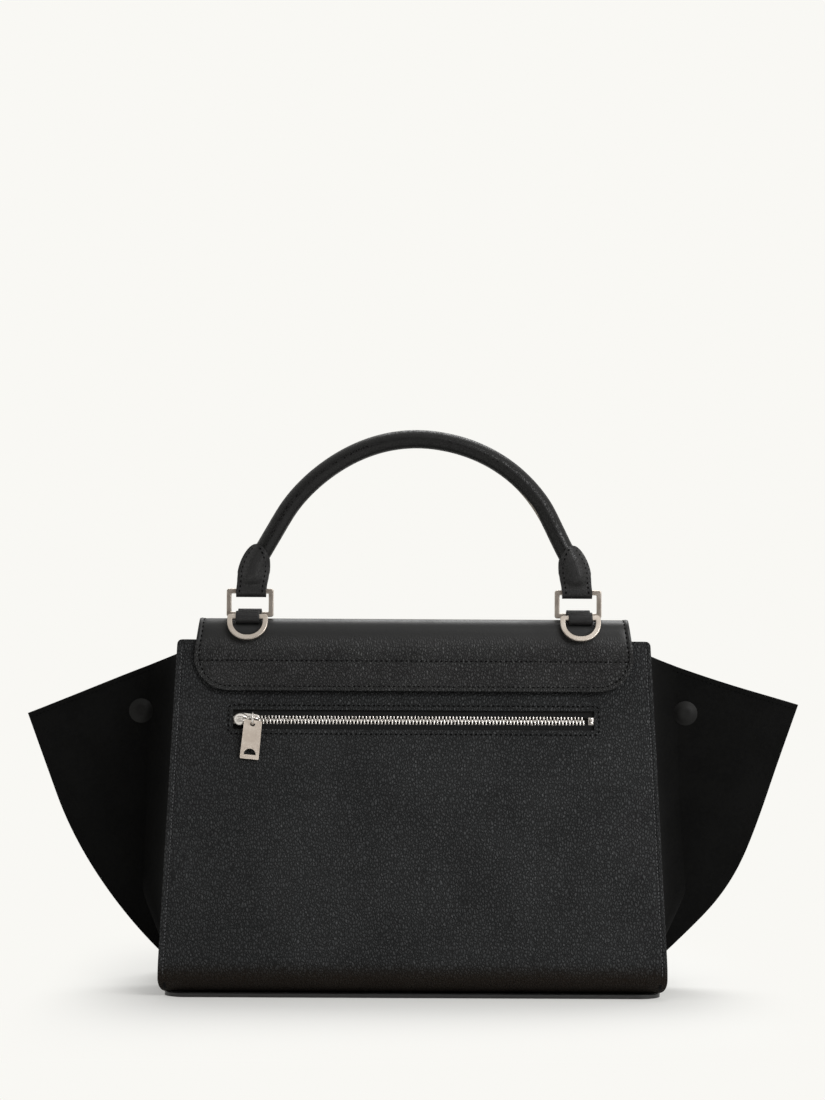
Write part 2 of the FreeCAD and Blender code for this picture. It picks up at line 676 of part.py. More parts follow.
def make_press_stud(side, side_name):
    """A press stud in four pieces: cap and socket on the rear half, stud and back disc on the front half."""
    outer = "(wing_hollow / 2 + wing_suede + seam_gap)"
    inner = "(wing_hollow / 2 - seam_gap)"
    rim = f"({outer} + snap_cap_rim)"
    crown = f"({outer} + snap_cap_height)"
    shank, disc_radius = "snap_shank_radius", "snap_disc_radius"
    bore = "(snap_nub_radius + snap_shank_room)"
    nub_end = f"-({inner} - snap_disc)"
    pieces = {
        "cap": [
            ("0", f"-{crown}"),
            ("snap_cap_radius / 2", f"-{crown}", "snap_cap_radius"),
            ("snap_cap_radius", f"-{rim}"),
            ("snap_cap_radius", f"-{outer}"),
            (shank, f"-{outer}"),
            (shank, f"-({inner} + seam_gap)"),
            ("0", f"-({inner} + seam_gap)"),
        ],
        "socket": [
            (bore, f"-{inner}"),
            (disc_radius, f"-{inner}"),
            (disc_radius, f"{inner} - snap_disc - seam_gap"),
            (bore, f"{inner} - snap_disc - seam_gap"),
        ],
        "stud": [
            ("0", nub_end),
            ("snap_nub_radius", nub_end),
            ("snap_nub_radius", f"{inner} - snap_disc"),
            (disc_radius, f"{inner} - snap_disc"),
            (disc_radius, inner),
            ("0", inner),
        ],
        "back_disc": [
            ("0", f"{inner} + seam_gap"),
            (shank, f"{inner} + seam_gap"),
            (shank, outer),
            ("snap_back_radius", outer),
            ("snap_back_radius", f"{outer} + snap_disc"),
            ("0", f"{outer} + snap_disc"),
        ],
    }
    place = Vector(side * size(snap_reach()), 0, size(SNAP_HEIGHT))
    for name, corners in pieces.items():
        piece = turned(f"snap_{side_name}_{name}", corners)
        piece.Placement = Placement(place, Rotation())


# The flap.


def flap_half(face, height, inside="0"):
    """Distance from the middle to the flap's outer face on one side, less a depth inside it."""
    room = "seam_gap" if face < 0 else "flap_front_gap"
    return f"({face} * {half_depth(height, f'{inside} - {FLAP} - {room}')})"


def flap_sheet(label, near, far):
    """One layer of the flap's moving part, between two depths under its outer face."""
    low, edge = FLAP_HINGE, FLAP_EDGE
    near_top, far_top = f"{FLAP_TOP} - ({near})", f"{FLAP_TOP} - ({far})"
    corners = [
        (flap_half(-1, low, near), low),
        (flap_half(-1, near_top, near), near_top, f"flap_ridge_round - ({near})"),
        (flap_half(1, near_top, near), near_top, f"flap_front_round - ({near})"),
        (flap_half(1, edge, near), edge),
        (flap_half(1, edge, far), edge),
        (flap_half(1, far_top, far), far_top, f"flap_front_round - ({far})"),
        (flap_half(-1, far_top, far), far_top, f"flap_ridge_round - ({far})"),
        (flap_half(-1, low, far), low),
    ]
    return flap_outline(label, corners, edge, "flap_front_corner")


def flap_outline(label, corners, edge, corner_round):
    """A layer with a section across the bag, cut to the flap's width with rounded corners at one edge."""
    body = profile(label, corners, "flap_width + cut_overrun")
    side, top = "flap_width / 2", f"{FLAP_TOP} + cut_overrun"
    front_view = [
        (f"-{side}", edge, corner_round),
        (side, edge, corner_round),
        (side, top),
        (f"-{side}", top),
    ]
    trim(body, "front_view", "XZ_Plane", front_view, f"flap_width + {FLAP_TOP}")
    return body


def make_flap():
    """The flap: a strip sewn to the back, and outer leather with its backing that bend up from it."""
    low, high = FLAP_REAR, f"({FLAP_HINGE} - soft_gap)"
    corners = [
        (flap_half(-1, low), low),
        (flap_half(-1, high), high),
        (flap_half(-1, high, FLAP), high),
        (flap_half(-1, low, FLAP), low),
    ]
    flap_outline("flap_sewn_strip", corners, low, "flap_rear_round")

    leather = flap_sheet("flap_leather", "0", "flap_leather")
    slot = sketch_on(leather, "slot", "XZ_Plane")
    slot_height = lifted(LOCK_HEIGHT, f"flap_front_gap + {FLAP} - flap_leather / 2")
    outline(slot, centred("lock_slot_width", "lock_slot_height", middle=slot_height))
    cut(leather, slot)
    backing = flap_sheet("flap_backing", "flap_leather + seam_gap", FLAP)
    seat = sketch_on(backing, "plate_seat", "XZ_Plane")
    room = "2 * soft_gap"
    seat_height = lifted(LOCK_HEIGHT, "flap_front_gap + flap_backing / 2")
    outline(seat, centred(f"lock_plate_width + {room}", f"lock_plate_height + {room}", middle=seat_height))
    cut(backing, seat)


def ridge_centre():
    """The middle of the flap's rounded rear ridge, in the YZ plane."""
    inside = "flap_ridge_round"
    height = f"{FLAP_TOP} - flap_ridge_round"
    return Vector(0, size(flap_half(-1, height, inside)), size(height))


def loop_place(lean, reach):
    """Where a leather loop stands on the ridge, its bore's axis across the bag."""
    rotation = Rotation(X_AXIS, -size(lean))
    return Placement(ridge_centre() + rotation.multVec(Vector(0, 0, size(reach))), rotation)


def make_loop(label, bore, width, place):
    """A leather loop all the way round a ring's bar, standing on the flap's ridge."""
    outer = f"({bore} + loop_leather)"
    body = new_body(label)
    wrap = sketch_on(body, "wrap", "YZ_Plane")
    disc(wrap, "0", "0", outer)
    pad(body, wrap, width)
    web = sketch_on(body, "web", "YZ_Plane")
    outline(web, block("-loop_leather", "loop_leather", f"-{outer}", "0"))
    pad(body, web, width)
    hole = sketch_on(body, "bore", "YZ_Plane")
    disc(hole, "0", "0", bore)
    cut(body, hole)
    body.Placement = place


def make_saddle(label, bore, width, reach, place):
    """A leather loop over a ring's bar, its two feet sewn down on the flap's ridge."""
    outer = f"({bore} + loop_leather)"
    body = new_body(label)
    arch = sketch_on(body, "arch", "YZ_Plane")
    disc(arch, "0", "0", outer)
    pad(body, arch, width)
    hole = sketch_on(body, "bore", "YZ_Plane")
    disc(hole, "0", "0", bore)
    cut(body, hole)
    seat = sketch_on(body, "seat", "YZ_Plane")
    disc(seat, "0", f"-{reach}", "flap_ridge_round + seam_gap")
    cut(body, seat)
    front_seat = sketch_on(body, "front_seat", "YZ_Plane")
    outline(front_seat, block("0", outer, f"-{outer}", f"-{bore}"))
    cut(body, front_seat)
    slit = sketch_on(body, "slit", "YZ_Plane")
    outline(slit, block("-ring_loop_gap / 2", "ring_loop_gap / 2", f"-{outer}", "0"))
    cut(body, slit)
    body.Placement = place


def make_rings():
    """The handle rings and strap rings, with the leather loops that hold them to the flap."""
    ring_loop = loop_place("0", RING_REACH)
    dring_loop = loop_place("dring_loop_angle", DRING_REACH)
    opening = block(
        "-ring_width / 2 + ring_bar",
        "ring_width / 2 - ring_bar",
        "ring_bar / 2",
        "ring_height - 3 * ring_bar / 2",
        "ring_edge",
    )
    for side, side_name in SIDES:
        at_ring = Vector(side * size("ring_spacing") / 2, 0, 0)
        place = Placement(ring_loop.Base + at_ring, ring_loop.Rotation)
        make_saddle(f"ring_loop_{side_name}", RING_BORE, "ring_loop_width", RING_REACH, place)
        middle = "ring_height / 2 - ring_bar / 2"
        frame = centred("ring_width", "ring_height", "ring_corner", middle)
        ring = plate(f"handle_ring_{side_name}", frame, "0", "ring_depth", [opening])
        soften_ring(ring)
        ring.Placement.Base = ring_loop.Base + at_ring

        at_dring = Vector(side * size("dring_spacing") / 2, 0, 0)
        place = Placement(dring_loop.Base + at_dring, dring_loop.Rotation)
        make_loop(f"strap_loop_{side_name}", DRING_BORE, "dring_loop_width", place)
        make_dring(f"strap_ring_{side_name}", Placement(dring_loop.Base + at_dring, Rotation()))


def soften_ring(ring):
    """Rounds the edges of a ring's front and back faces."""
    face = size("ring_depth / 2")
    fillet(ring, "ring_edge", lambda edge: on_face(edge, "y", face) or on_face(edge, "y", -face))


def make_dring(label, place):
    """A strap ring: a straight bar with a bow hanging from it."""
    half, top = "dring_width / 2", "dring_bar / 2"
    low = "-(dring_height - dring_bar / 2)"
    bow = "full_round_share * dring_width / 2"
    inner_half, inner_low = f"({half} - dring_bar)", f"({low} + dring_bar)"
    frame = [
        (f"-{half}", low, bow),
        (half, low, bow),
        (half, top, "dring_corner"),
        (f"-{half}", top, "dring_corner"),
    ]
    inner_bow = f"{bow} - dring_bar"
    opening = [
        (f"-{inner_half}", inner_low, inner_bow),
        (inner_half, inner_low, inner_bow),
        (inner_half, f"-{top}"),
        (f"-{inner_half}", f"-{top}"),
    ]
    ring = plate(label, frame, "0", "ring_depth", [opening])
    soften_ring(ring)
    ring.Placement = Placement(place.Base, Rotation(X_AXIS, -size("dring_hang_angle")))


# The handle.


def upper_bar():
    """The middle of the rings' upper bars, in the YZ plane."""
    return loop_place("0", RING_REACH).Base + Vector(0, 0, size("ring_height - ring_bar"))


def handle_route():
    """The corners of the handle's middle line, over the rings' upper bars."""
    end = "handle_end_spacing / 2"
    rise = "sqrt(1 + handle_slope_share ^ 2) / handle_slope_share"
    peak = f"(handle_rise + handle_round * ({rise} - 1))"
    knee = f"{peak} - {end} / handle_slope_share"
    return [
        (f"-{end}", "handle_end_height"),
        (f"-{end}", knee, "handle_knee_round"),
        ("0", peak, "handle_round"),
        (end, knee, "handle_knee_round"),
        (end, "handle_end_height"),
    ]


def sweep_handle(body, kind, radius):
    """Sweeps a circle along the handle's middle line, to add or to take away."""
    name = "rope" if kind == "PartDesign::AdditivePipe" else "sleeve"
    spine = sketch_on(body, f"{name}_spine", "XZ_Plane")
    trace(spine, handle_route(), closed=False)
    section = sketch_on(body, f"{name}_section", "XY_Plane", "handle_end_height")
    disc(section, "-handle_end_spacing / 2", "0", radius)
    doc.recompute()
    feature = body.newObject(kind, f"{body.Name}_{name}")
    feature.Profile = section
    feature.Spine = spine
    doc.recompute()
    return feature


def make_handle():
    """The rolled handle: a leather cover over a rope core, and a tab at each end."""
    core_radius = "handle_core_share * handle_thickness / 2"
    cover = new_body("handle_cover")
    sweep_handle(cover, "PartDesign::AdditivePipe", "handle_thickness / 2")
    sweep_handle(cover, "PartDesign::SubtractivePipe", f"{core_radius} + seam_gap")
    core = new_body("handle_core")
    sweep_handle(core, "PartDesign::AdditivePipe", core_radius)
    for body in (cover, core):
        body.Placement.Base = upper_bar()
    for side, side_name in SIDES:
        make_tab(side, side_name)


def make_tab(side, side_name):
    """A handle tab: leather wrapped round the ring's upper bar and sewn round the handle's end."""
    middle = "ring_spacing / 2"
    outer = f"({RING_BORE} + loop_leather)"
    half = "tab_width / 2"
    tip = f"({middle} - tab_tip_lean)"
    spade = [
        (f"{side} * ({middle} + {half})", f"-{outer}"),
        (f"{side} * ({middle} + {half})", "tab_shoulder", "tab_shoulder_round"),
        (f"{side} * ({tip} + tab_tip_width / 2)", "tab_height", "tab_tip_round"),
        (f"{side} * ({tip} - tab_tip_width / 2)", "tab_height", "tab_tip_round"),
        (f"{side} * ({middle} - {half})", "tab_shoulder", "tab_shoulder_round"),
        (f"{side} * ({middle} - {half})", f"-{outer}"),
    ]
    thickness = "(handle_thickness + 2 * tab_wall)"
    tab = plate(f"handle_tab_{side_name}", spade, "0", thickness)
    bend = f"full_round_share * {outer}"
    section = [
        (f"-{outer}", f"-{outer}", bend),
        (outer, f"-{outer}", bend),
        (outer, "0"),
        (f"{thickness} / 2", "tab_shoulder"),
        (f"{thickness} / 2", "tab_height + cut_overrun"),
        (f"-{thickness} / 2", "tab_height + cut_overrun"),
        (f"-{thickness} / 2", "tab_shoulder"),
        (f"-{outer}", "0"),
    ]
    face = size(f"{thickness} / 2")
    fillet(tab, "tab_edge", lambda edge: on_face(edge, "y", face) or on_face(edge, "y", -face))
    trim(tab, "side_view", "YZ_Plane", section, "ring_spacing")
    bore = sketch_on(tab, "bore", "YZ_Plane")
    disc(bore, "0", "0", RING_BORE)
    cut(tab, bore)
    sweep_handle(tab, "PartDesign::SubtractivePipe", "handle_thickness / 2 + seam_gap")
    tab.Placement.Base = upper_bar()


# The zipped pocket.


def make_zip():
    """The zip behind the rear panel's window: tape, teeth, stops and slider."""
    place = on_panel(-1, ZIP_HEIGHT)
    tape_half = "(window_length / 2 + tape_overlap)"
    for sign, name in ((1, "upper"), (-1, "lower")):
        near = f"{sign} * (tooth_reach + seam_gap / 2)"
        far = f"{sign} * (tooth_reach + tape_width)"
        low, high = (near, far) if sign > 0 else (far, near)
        strip = block(f"-{tape_half}", tape_half, low, high)
        tape = plate(f"zip_tape_{name}", strip, TAPE_MIDDLE, "tape_thickness")
        tape.Placement = place
        make_teeth(sign, name, place)
    for side, side_name in SIDES:
        inner, outer = f"{side} * {CHAIN} / 2", f"{side} * (window_length / 2)"
        low, high = (inner, outer) if side > 0 else (outer, inner)
        corners = block(low, high, "-tooth_reach", "tooth_reach")
        stop = plate(f"zip_stop_{side_name}", corners, TAPE_MIDDLE, "tooth_depth")
        stop.Placement = place
    make_slider(place)
    make_pocket(place)


def make_teeth(sign, name, place):
    """One row of teeth, each with a narrow nose that meshes with the other row."""
    width = "(tooth_width_share * tooth_pitch)"
    shift = "tooth_pitch / 2" if sign < 0 else "0"
    first = f"(-{CHAIN} / 2 + tooth_pitch / 2 + {shift})"
    nose = f"tooth_nose_share * {width} / 2"
    corners = [
        (f"{first} - {width} / 2", f"{sign} * tooth_reach"),
        (f"{first} - {width} / 2", "0"),
        (f"{first} - {nose}", f"{-sign} * tooth_bite"),
        (f"{first} + {nose}", f"{-sign} * tooth_bite"),
        (f"{first} + {width} / 2", "0"),
        (f"{first} + {width} / 2", f"{sign} * tooth_reach"),
    ]
    row = plate(f"zip_teeth_{name}", corners, TAPE_MIDDLE, "tooth_depth")
    tooth = row.Tip
    pattern = row.newObject("PartDesign::LinearPattern", f"{row.Name}_pattern")
    pattern.Originals = [tooth]
    pattern.Direction = (tooth.Profile[0], ["H_Axis"])
    count = f"floor(({CHAIN} - {shift} - {width}) / tooth_pitch)"
    pattern.setExpression("Occurrences", bound(count))
    pattern.setExpression("Length", bound(f"({count} - 1) * tooth_pitch"))
    row.Tip = pattern
    doc.recompute()
    row.Placement = place


def slider_middle():
    """The slider's middle along the zip when the zip is closed."""
    return f"(-{CHAIN} / 2 + slider_start + slider_length / 2)"


def slider_face():
    """How far in the slider's plate starts, over the teeth."""
    return f"({TAPE_MIDDLE} - tooth_depth / 2 - slider_room)"


def make_slider(place):
    """The slider: a plate over the teeth with lips beside them, and a bridge for the puller's link."""
    middle, face = slider_middle(), slider_face()
    half = "slider_length / 2"
    shape = [
        (f"{middle} - {half}", "-slider_width / 2", "slider_nose_round"),
        (f"{middle} + {half}", "-slider_width / 2", "slider_nose_round / 3"),
        (f"{middle} + {half}", "slider_width / 2", "slider_nose_round / 3"),
        (f"{middle} - {half}", "slider_width / 2", "slider_nose_round"),
    ]
    depth = "(slider_plate + slider_room + slider_lip)"
    body = plate("zip_slider", shape, f"{face} - slider_plate + {depth} / 2", depth)
    channel = sketch_on(body, "channel", "XZ_Plane", f"-({face} + slider_plate)")
    reach = "(slider_length + cut_overrun)"
    outline(channel, block(
        f"{middle} - {reach}",
        f"{middle} + {reach}",
        "-(tooth_reach + slider_room)",
        "tooth_reach + slider_room",
    ))
    cut(body, channel, "2 * slider_plate")

    bridge = sketch_on(body, "bridge", "XY_Plane")
    top, foot = f"({face} - slider_plate - bridge_height)", f"({face} - slider_plate / 2)"
    left, right = f"({middle} - bridge_length / 2)", f"({middle} + bridge_length / 2)"
    outline(bridge, [
        (left, foot),
        (left, top, "bridge_bar"),
        (right, top, "bridge_bar"),
        (right, foot),
    ])
    pad(body, bridge, "bridge_width")
    eye = sketch_on(body, "bridge_eye", "XY_Plane")
    outline(eye, block(
        f"{left} + bridge_bar",
        f"{right} - bridge_bar",
        f"{top} + bridge_bar",
        f"{face} - slider_plate",
    ))
    cut(body, eye, "2 * bridge_width")
    body.Placement = place
    make_puller(place)


def bridge_axis(place):
    """The middle of the bridge's bar where the link hangs on it."""
    across = f"{slider_middle()} + link_shift_share * bridge_length"
    depth = f"{slider_face()} - slider_plate - bridge_height + bridge_bar / 2"
    return place.multVec(Vector(size(across), size(depth), 0))


def link_middle(place):
    """The middle of the link: it hangs plumb, far enough out for the puller to clear the bridge."""
    out = "bridge_bar / 2 + puller_room + puller_plate / 2"
    return bridge_axis(place) + Vector(0, -size(out), -size("link_drop"))


def puller_axis(place):
    """The middle of the link's wire where the puller hangs on it."""
    return link_middle(place) - Vector(0, 0, size("link_radius"))


def make_puller(place):
    """The link round the bridge, and the flat puller that hangs from it."""
    link = doc.addObject("Part::Torus", "puller_link")
    link.Label = "puller_link"
    parts.append(link)
    link.setExpression("Radius1", bound("link_radius"))
    link.setExpression("Radius2", bound("link_wire"))
    doc.recompute()
    link.Placement = Placement(link_middle(place), Rotation(Y_AXIS, 90))

    half = "puller_width / 2"
    eye = "(puller_eye - link_wire - seam_gap)"
    top = f"(puller_eye_setback - {eye})"
    low = f"({top} - puller_length)"
    shape = block(f"-{half}", half, low, top, "puller_corner")
    puller = plate("puller_plate", shape, "0", "puller_plate", [("0", f"-{eye}", "puller_eye")])
    cut_moon(puller, f"({low} + puller_moon_setback)")
    puller.Placement = Placement(puller_axis(place), Rotation(Y_AXIS, size("puller_swing_angle")))


def cut_moon(puller, base):
    """The half-round hole near the puller's end."""
    bow = "full_round_share * puller_moon"
    sketch = sketch_on(puller, "moon", "XZ_Plane")
    outline(sketch, [
        ("-puller_moon", base),
        ("puller_moon", base),
        ("puller_moon", f"{base} + puller_moon", bow),
        ("-puller_moon", f"{base} + puller_moon", bow),
    ])
    cut(puller, sketch)


def make_pocket(place):
    """The pocket behind the zip: one strip of fabric folded up at its foot."""
    near = f"({TAPE_MIDDLE} + tooth_depth / 2 + seam_gap)"
    fold, back = f"({near} + pocket_sheet)", f"({near} + pocket_sheet + pocket_room)"
    far = f"({back} + pocket_sheet)"
    low = "-(pocket_mouth + pocket_depth)"
    corners = [
        (near, "-pocket_mouth"),
        (near, low),
        (far, low),
        (far, "pocket_top"),
        (back, "pocket_top"),
        (back, f"{low} + pocket_sheet"),
        (fold, f"{low} + pocket_sheet"),
        (fold, "-pocket_mouth"),
    ]
    pocket = profile("pocket_bag", corners, "window_length + 2 * pocket_margin")
    pocket.Placement = place


# The turn lock on the front.


def make_lock():
    """The turn lock: a base with a post on the front panel, a knob on the post, and plates on the flap."""
    place = on_panel(1, LOCK_HEIGHT)
    flap_inner = "flap_front_gap"
    flap_outer = f"(flap_front_gap + {FLAP})"
    base_top = "(seam_gap + lock_base)"
    knob_foot = f"({flap_outer} + seam_gap + lock_plate + soft_gap)"

    base_shape = centred("lock_base_width", "lock_base_height", "lock_plate_round")
    base = plate("lock_base", base_shape, "seam_gap + lock_base / 2", "lock_base", screw_holes())
    post = sketch_on(base, "post", "XZ_Plane", f"-({base_top} + {knob_foot} - soft_gap / 2) / 2")
    disc(post, "0", "0", "lock_post_radius")
    pad(base, post, f"{knob_foot} - soft_gap / 2 - {base_top} + seam_gap")
    tip = sketch_on(base, "tip", "XZ_Plane", f"-({knob_foot} + lock_pin_length / 2 - soft_gap)")
    disc(tip, "0", "0", "lock_pin_radius")
    pad(base, tip, "lock_pin_length + soft_gap")

    washer_middle = "-(panel_leather + seam_gap + lock_washer / 2)"
    washer = plate("lock_washer", base_shape, washer_middle, "lock_washer", screw_holes())
    knob_middle = f"{knob_foot} + lock_knob_height / 2"
    knob_shape = centred("lock_knob_width", "lock_knob_length", "full_round_share * lock_knob_width / 2")
    knob = plate("lock_knob", knob_shape, knob_middle, "lock_knob_height")
    face = size(f"{knob_foot} + lock_knob_height")
    fillet(knob, "lock_knob_edge", lambda edge: on_face(edge, "y", face))
    bore = sketch_on(knob, "bore", "XZ_Plane", f"-({knob_foot})")
    disc(bore, "0", "0", "lock_pin_radius + lock_pin_room")
    cut(knob, bore, "2 * (lock_pin_length + soft_gap)")

    slot = centred("lock_slot_width", "lock_slot_height", "full_round_share * lock_slot_height / 2")
    shape = centred("lock_plate_width", "lock_plate_height", "lock_plate_round")
    front = plate("lock_plate", shape, f"{flap_outer} + seam_gap + lock_plate / 2", "lock_plate", [slot])
    inner = plate("lock_backing", shape, f"{flap_inner} + flap_backing / 2", "flap_backing", [slot])
    for body in (base, washer, knob, front, inner, make_lock_screws()):
        body.Placement = place


def screw_holes():
    """The two screw holes in the lock's base and in its washer."""
    radius = "lock_screw_radius + lock_screw_room"
    return [(f"{side} * lock_screw_spacing / 2", "0", radius) for side, _ in SIDES]


def make_lock_screws():
    """The two screws that clamp the lock's base and washer to the panel, as one group."""
    foot = "-(panel_leather + seam_gap + lock_washer)"
    head = "(seam_gap + lock_base + seam_gap / 2)"
    body = new_body("lock_screws")
    shank = sketch_on(body, "shank", "XZ_Plane", f"-({foot} + {head}) / 2")
    cap = sketch_on(body, "head", "XZ_Plane", f"-({head} + lock_screw_rise / 2)")
    for side, _ in SIDES:
        disc(shank, f"{side} * lock_screw_spacing / 2", "0", "lock_screw_radius")
        disc(cap, f"{side} * lock_screw_spacing / 2", "0", "lock_screw_head")
    pad(body, shank, f"{head} - ({foot})")
    pad(body, cap, "lock_screw_rise")
    return body


# Building, checking and writing.


def build():
    """Makes every sub-part."""
    fill_sheet()
    cut_window(make_panel(-1, "rear"))
    cut_screw_holes(make_panel(1, "front"))
    make_base()
    make_side_walls()
    make_lining()
    make_wings()
    make_flap()
    make_rings()
    make_handle()
    make_zip()
    make_lock()
    doc.recompute()


def check():
    """Stops if any object failed or any sub-part's shape is missing or invalid."""
    for item in doc.Objects:
        if {"Invalid", "Error"} & set(item.State):
            raise RuntimeError(f"{item.Name} failed: {item.State}")
    for part in parts:
        if part.Shape.isNull() or not part.Shape.isValid() or not part.Shape.Solids:
            raise RuntimeError(f"{part.Label} has no valid solid")


def report_axes():
    """Prints the places that the joints turn about."""
    hinge = Vector(0, size(flap_half(-1, FLAP_HINGE)), size(FLAP_HINGE))
    place = on_panel(-1, ZIP_HEIGHT)
    print("flap hinge", hinge)
    print("handle ring axis", loop_place("0", RING_REACH).Base)
    print("handle axis", upper_bar())
    print("strap ring axis", loop_place("dring_loop_angle", DRING_REACH).Base)
    print("puller link axis", bridge_axis(place))
    print("puller axis", puller_axis(place))
    print("zip run", size(f"{CHAIN} - 2 * slider_start - slider_length"))
    print("wing root", size(wing_root("wing_root_bottom")), size(wing_root(WALL_TOP)))
    print("lock axis", on_panel(1, LOCK_HEIGHT).Base, "lean", lean_angle())


def write():
    """Writes one STEP file for each sub-part."""
    os.makedirs("parts", exist_ok=True)
    for part in parts:
        part.Shape.exportStep(f"parts/{part.Label}.step")


build()
check()
report_axes()
write()
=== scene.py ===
"""Looks of a winged top-handle bag: grained panels, suede wings, a flap, a rolled handle and a zipped back.

The zipped back faces -Y, +X is to the right of someone who looks at it, and +Z is up.
The bag stands on z = 0, and lengths are in metres.
"""
import logging
import math
from dataclasses import dataclass
from enum import Enum
from typing import Any, Callable, Iterable, Sequence

import bmesh
import bpy
from mathutils import Matrix, Vector


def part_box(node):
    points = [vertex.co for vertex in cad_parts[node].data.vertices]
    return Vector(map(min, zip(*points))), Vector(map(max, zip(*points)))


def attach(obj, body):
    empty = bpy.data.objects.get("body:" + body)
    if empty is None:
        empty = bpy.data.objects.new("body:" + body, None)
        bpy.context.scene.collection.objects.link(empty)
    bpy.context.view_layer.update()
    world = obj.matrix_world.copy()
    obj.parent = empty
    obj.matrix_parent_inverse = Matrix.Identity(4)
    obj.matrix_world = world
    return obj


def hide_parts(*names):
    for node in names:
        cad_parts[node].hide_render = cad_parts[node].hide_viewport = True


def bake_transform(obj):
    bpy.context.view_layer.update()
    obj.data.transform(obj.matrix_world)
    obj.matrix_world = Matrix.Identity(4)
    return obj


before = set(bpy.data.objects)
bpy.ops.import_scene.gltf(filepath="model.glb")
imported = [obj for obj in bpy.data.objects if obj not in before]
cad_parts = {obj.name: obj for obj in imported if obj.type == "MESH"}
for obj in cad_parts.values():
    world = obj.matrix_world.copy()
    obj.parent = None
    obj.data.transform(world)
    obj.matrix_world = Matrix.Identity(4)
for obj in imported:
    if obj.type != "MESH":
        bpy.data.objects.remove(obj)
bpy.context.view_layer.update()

MM = 0.001
PLATE_CREASE, METAL_CREASE, BLOCK_CREASE = (math.radians(angle) for angle in (15, 50, 60))
ZIP_HEIGHT = 164 * MM
SEAM_LINES = 3
MERGE_SHARE = 0.4
SAME_DIGITS = 7
LOG = logging.getLogger("trapeze_bag")
Corner = Sequence[float]
Pair = tuple[float, float]
Triple = tuple[float, float, float]
Colour = tuple[float, float, float, float]
Polyline = list[Vector]
Piece = bpy.types.Object
Material = bpy.types.Material
Socket = bpy.types.NodeSocket
Tree = bpy.types.NodeTree


class Part(Enum):
    """A part of the bag that has its word in the names of pieces, and its sign in their places."""

    @property
    def label(self) -> str:
        """The word in the names of pieces."""
        return self.name.lower()


class Side(Part):
    """The bag's two sides, as the zipped back is seen."""

    LEFT = -1
    RIGHT = 1


class Half(Part):
    """The zipped rear and the front with the lock."""

    REAR = -1
    FRONT = 1


# Measures along paths


def ease(value: float, start: float, end: float) -> float:
    """Smooth step from 0 at start to 1 at end, read at a value."""
    share = min(max((value - start) / (end - start), 0.0), 1.0)
    return share * share * (3 - 2 * share)


def hump(distance: float, reach: float) -> float:
    """A round hump that is 1 at its middle and fades over its reach."""
    return math.exp(-((distance / reach) ** 2))


def blend_values(first: float, second: float, share: float) -> float:
    """The value between two others at a share of the way."""
    return first + (second - first) * share


@dataclass(frozen=True, eq=False)
class Run:
    """A straight stretch of a route."""

    start: Vector
    heading: Vector
    length: float

    def at(self, along: float) -> tuple[Vector, Vector]:
        """The point and the heading at a length along the stretch."""
        return self.start + self.heading * along, self.heading


@dataclass(frozen=True, eq=False)
class Bend:
    """A round stretch of a route; turn is 1 to the left and -1 to the right."""

    centre: Vector
    arm: Vector
    turn: float
    length: float

    def at(self, along: float) -> tuple[Vector, Vector]:
        """The point and the heading at a length along the stretch."""
        spoke = Matrix.Rotation(self.turn * along / self.arm.length, 2) @ self.arm
        heading = Vector((-spoke.y, spoke.x)).normalized() * self.turn
        return self.centre + spoke, heading


class Route:
    """A flat path of straight runs and round bends, read by its length."""

    def __init__(self, corners: Sequence[Corner]) -> None:
        """Lays out the runs and bends.

        Args:
            corners: Points of two numbers, with a third, the radius, where a corner is rounded.
        """
        points = [Vector(corner[:2]) for corner in corners]
        self.pieces: list[Run | Bend] = []
        start = points[0]
        for index in range(1, len(points) - 1):
            radius = corners[index][2] if len(corners[index]) > 2 else 0.0
            here = points[index]
            inward = (here - points[index - 1]).normalized()
            outward = (points[index + 1] - here).normalized()
            angle = math.acos(max(-1.0, min(1.0, inward.dot(outward))))
            turn = math.copysign(1.0, inward.x * outward.y - inward.y * outward.x)
            setback = inward * radius * math.tan(angle / 2)
            self._add_run(start, here - setback)
            if radius and angle:
                normal = Vector((-inward.y, inward.x)) * turn * radius
                self.pieces.append(Bend(here - setback + normal, -normal, turn, radius * angle))
            start = here + outward * setback.length
        self._add_run(start, points[-1])
        self.length = sum(piece.length for piece in self.pieces)

    def _add_run(self, start: Vector, end: Vector) -> None:
        """Adds a straight stretch, unless it has no length."""
        reach = end - start
        if reach.length > 1e-9:
            self.pieces.append(Run(start, reach.normalized(), reach.length))

    def at(self, along: float) -> tuple[Vector, Vector]:
        """The point and heading at a length along the route.

        Args:
            along: Length from the start.

        Returns:
            The point and the unit heading there.
        """
        for piece in self.pieces[:-1]:
            if along <= piece.length:
                return piece.at(along)
            along -= piece.length
        return self.pieces[-1].at(along)

    def sample(self, step: float) -> list[tuple[Vector, Vector]]:
        """Points and headings at an even step from end to end."""
        count = max(2, round(self.length / step))
        return [self.at(self.length * index / count) for index in range(count + 1)]


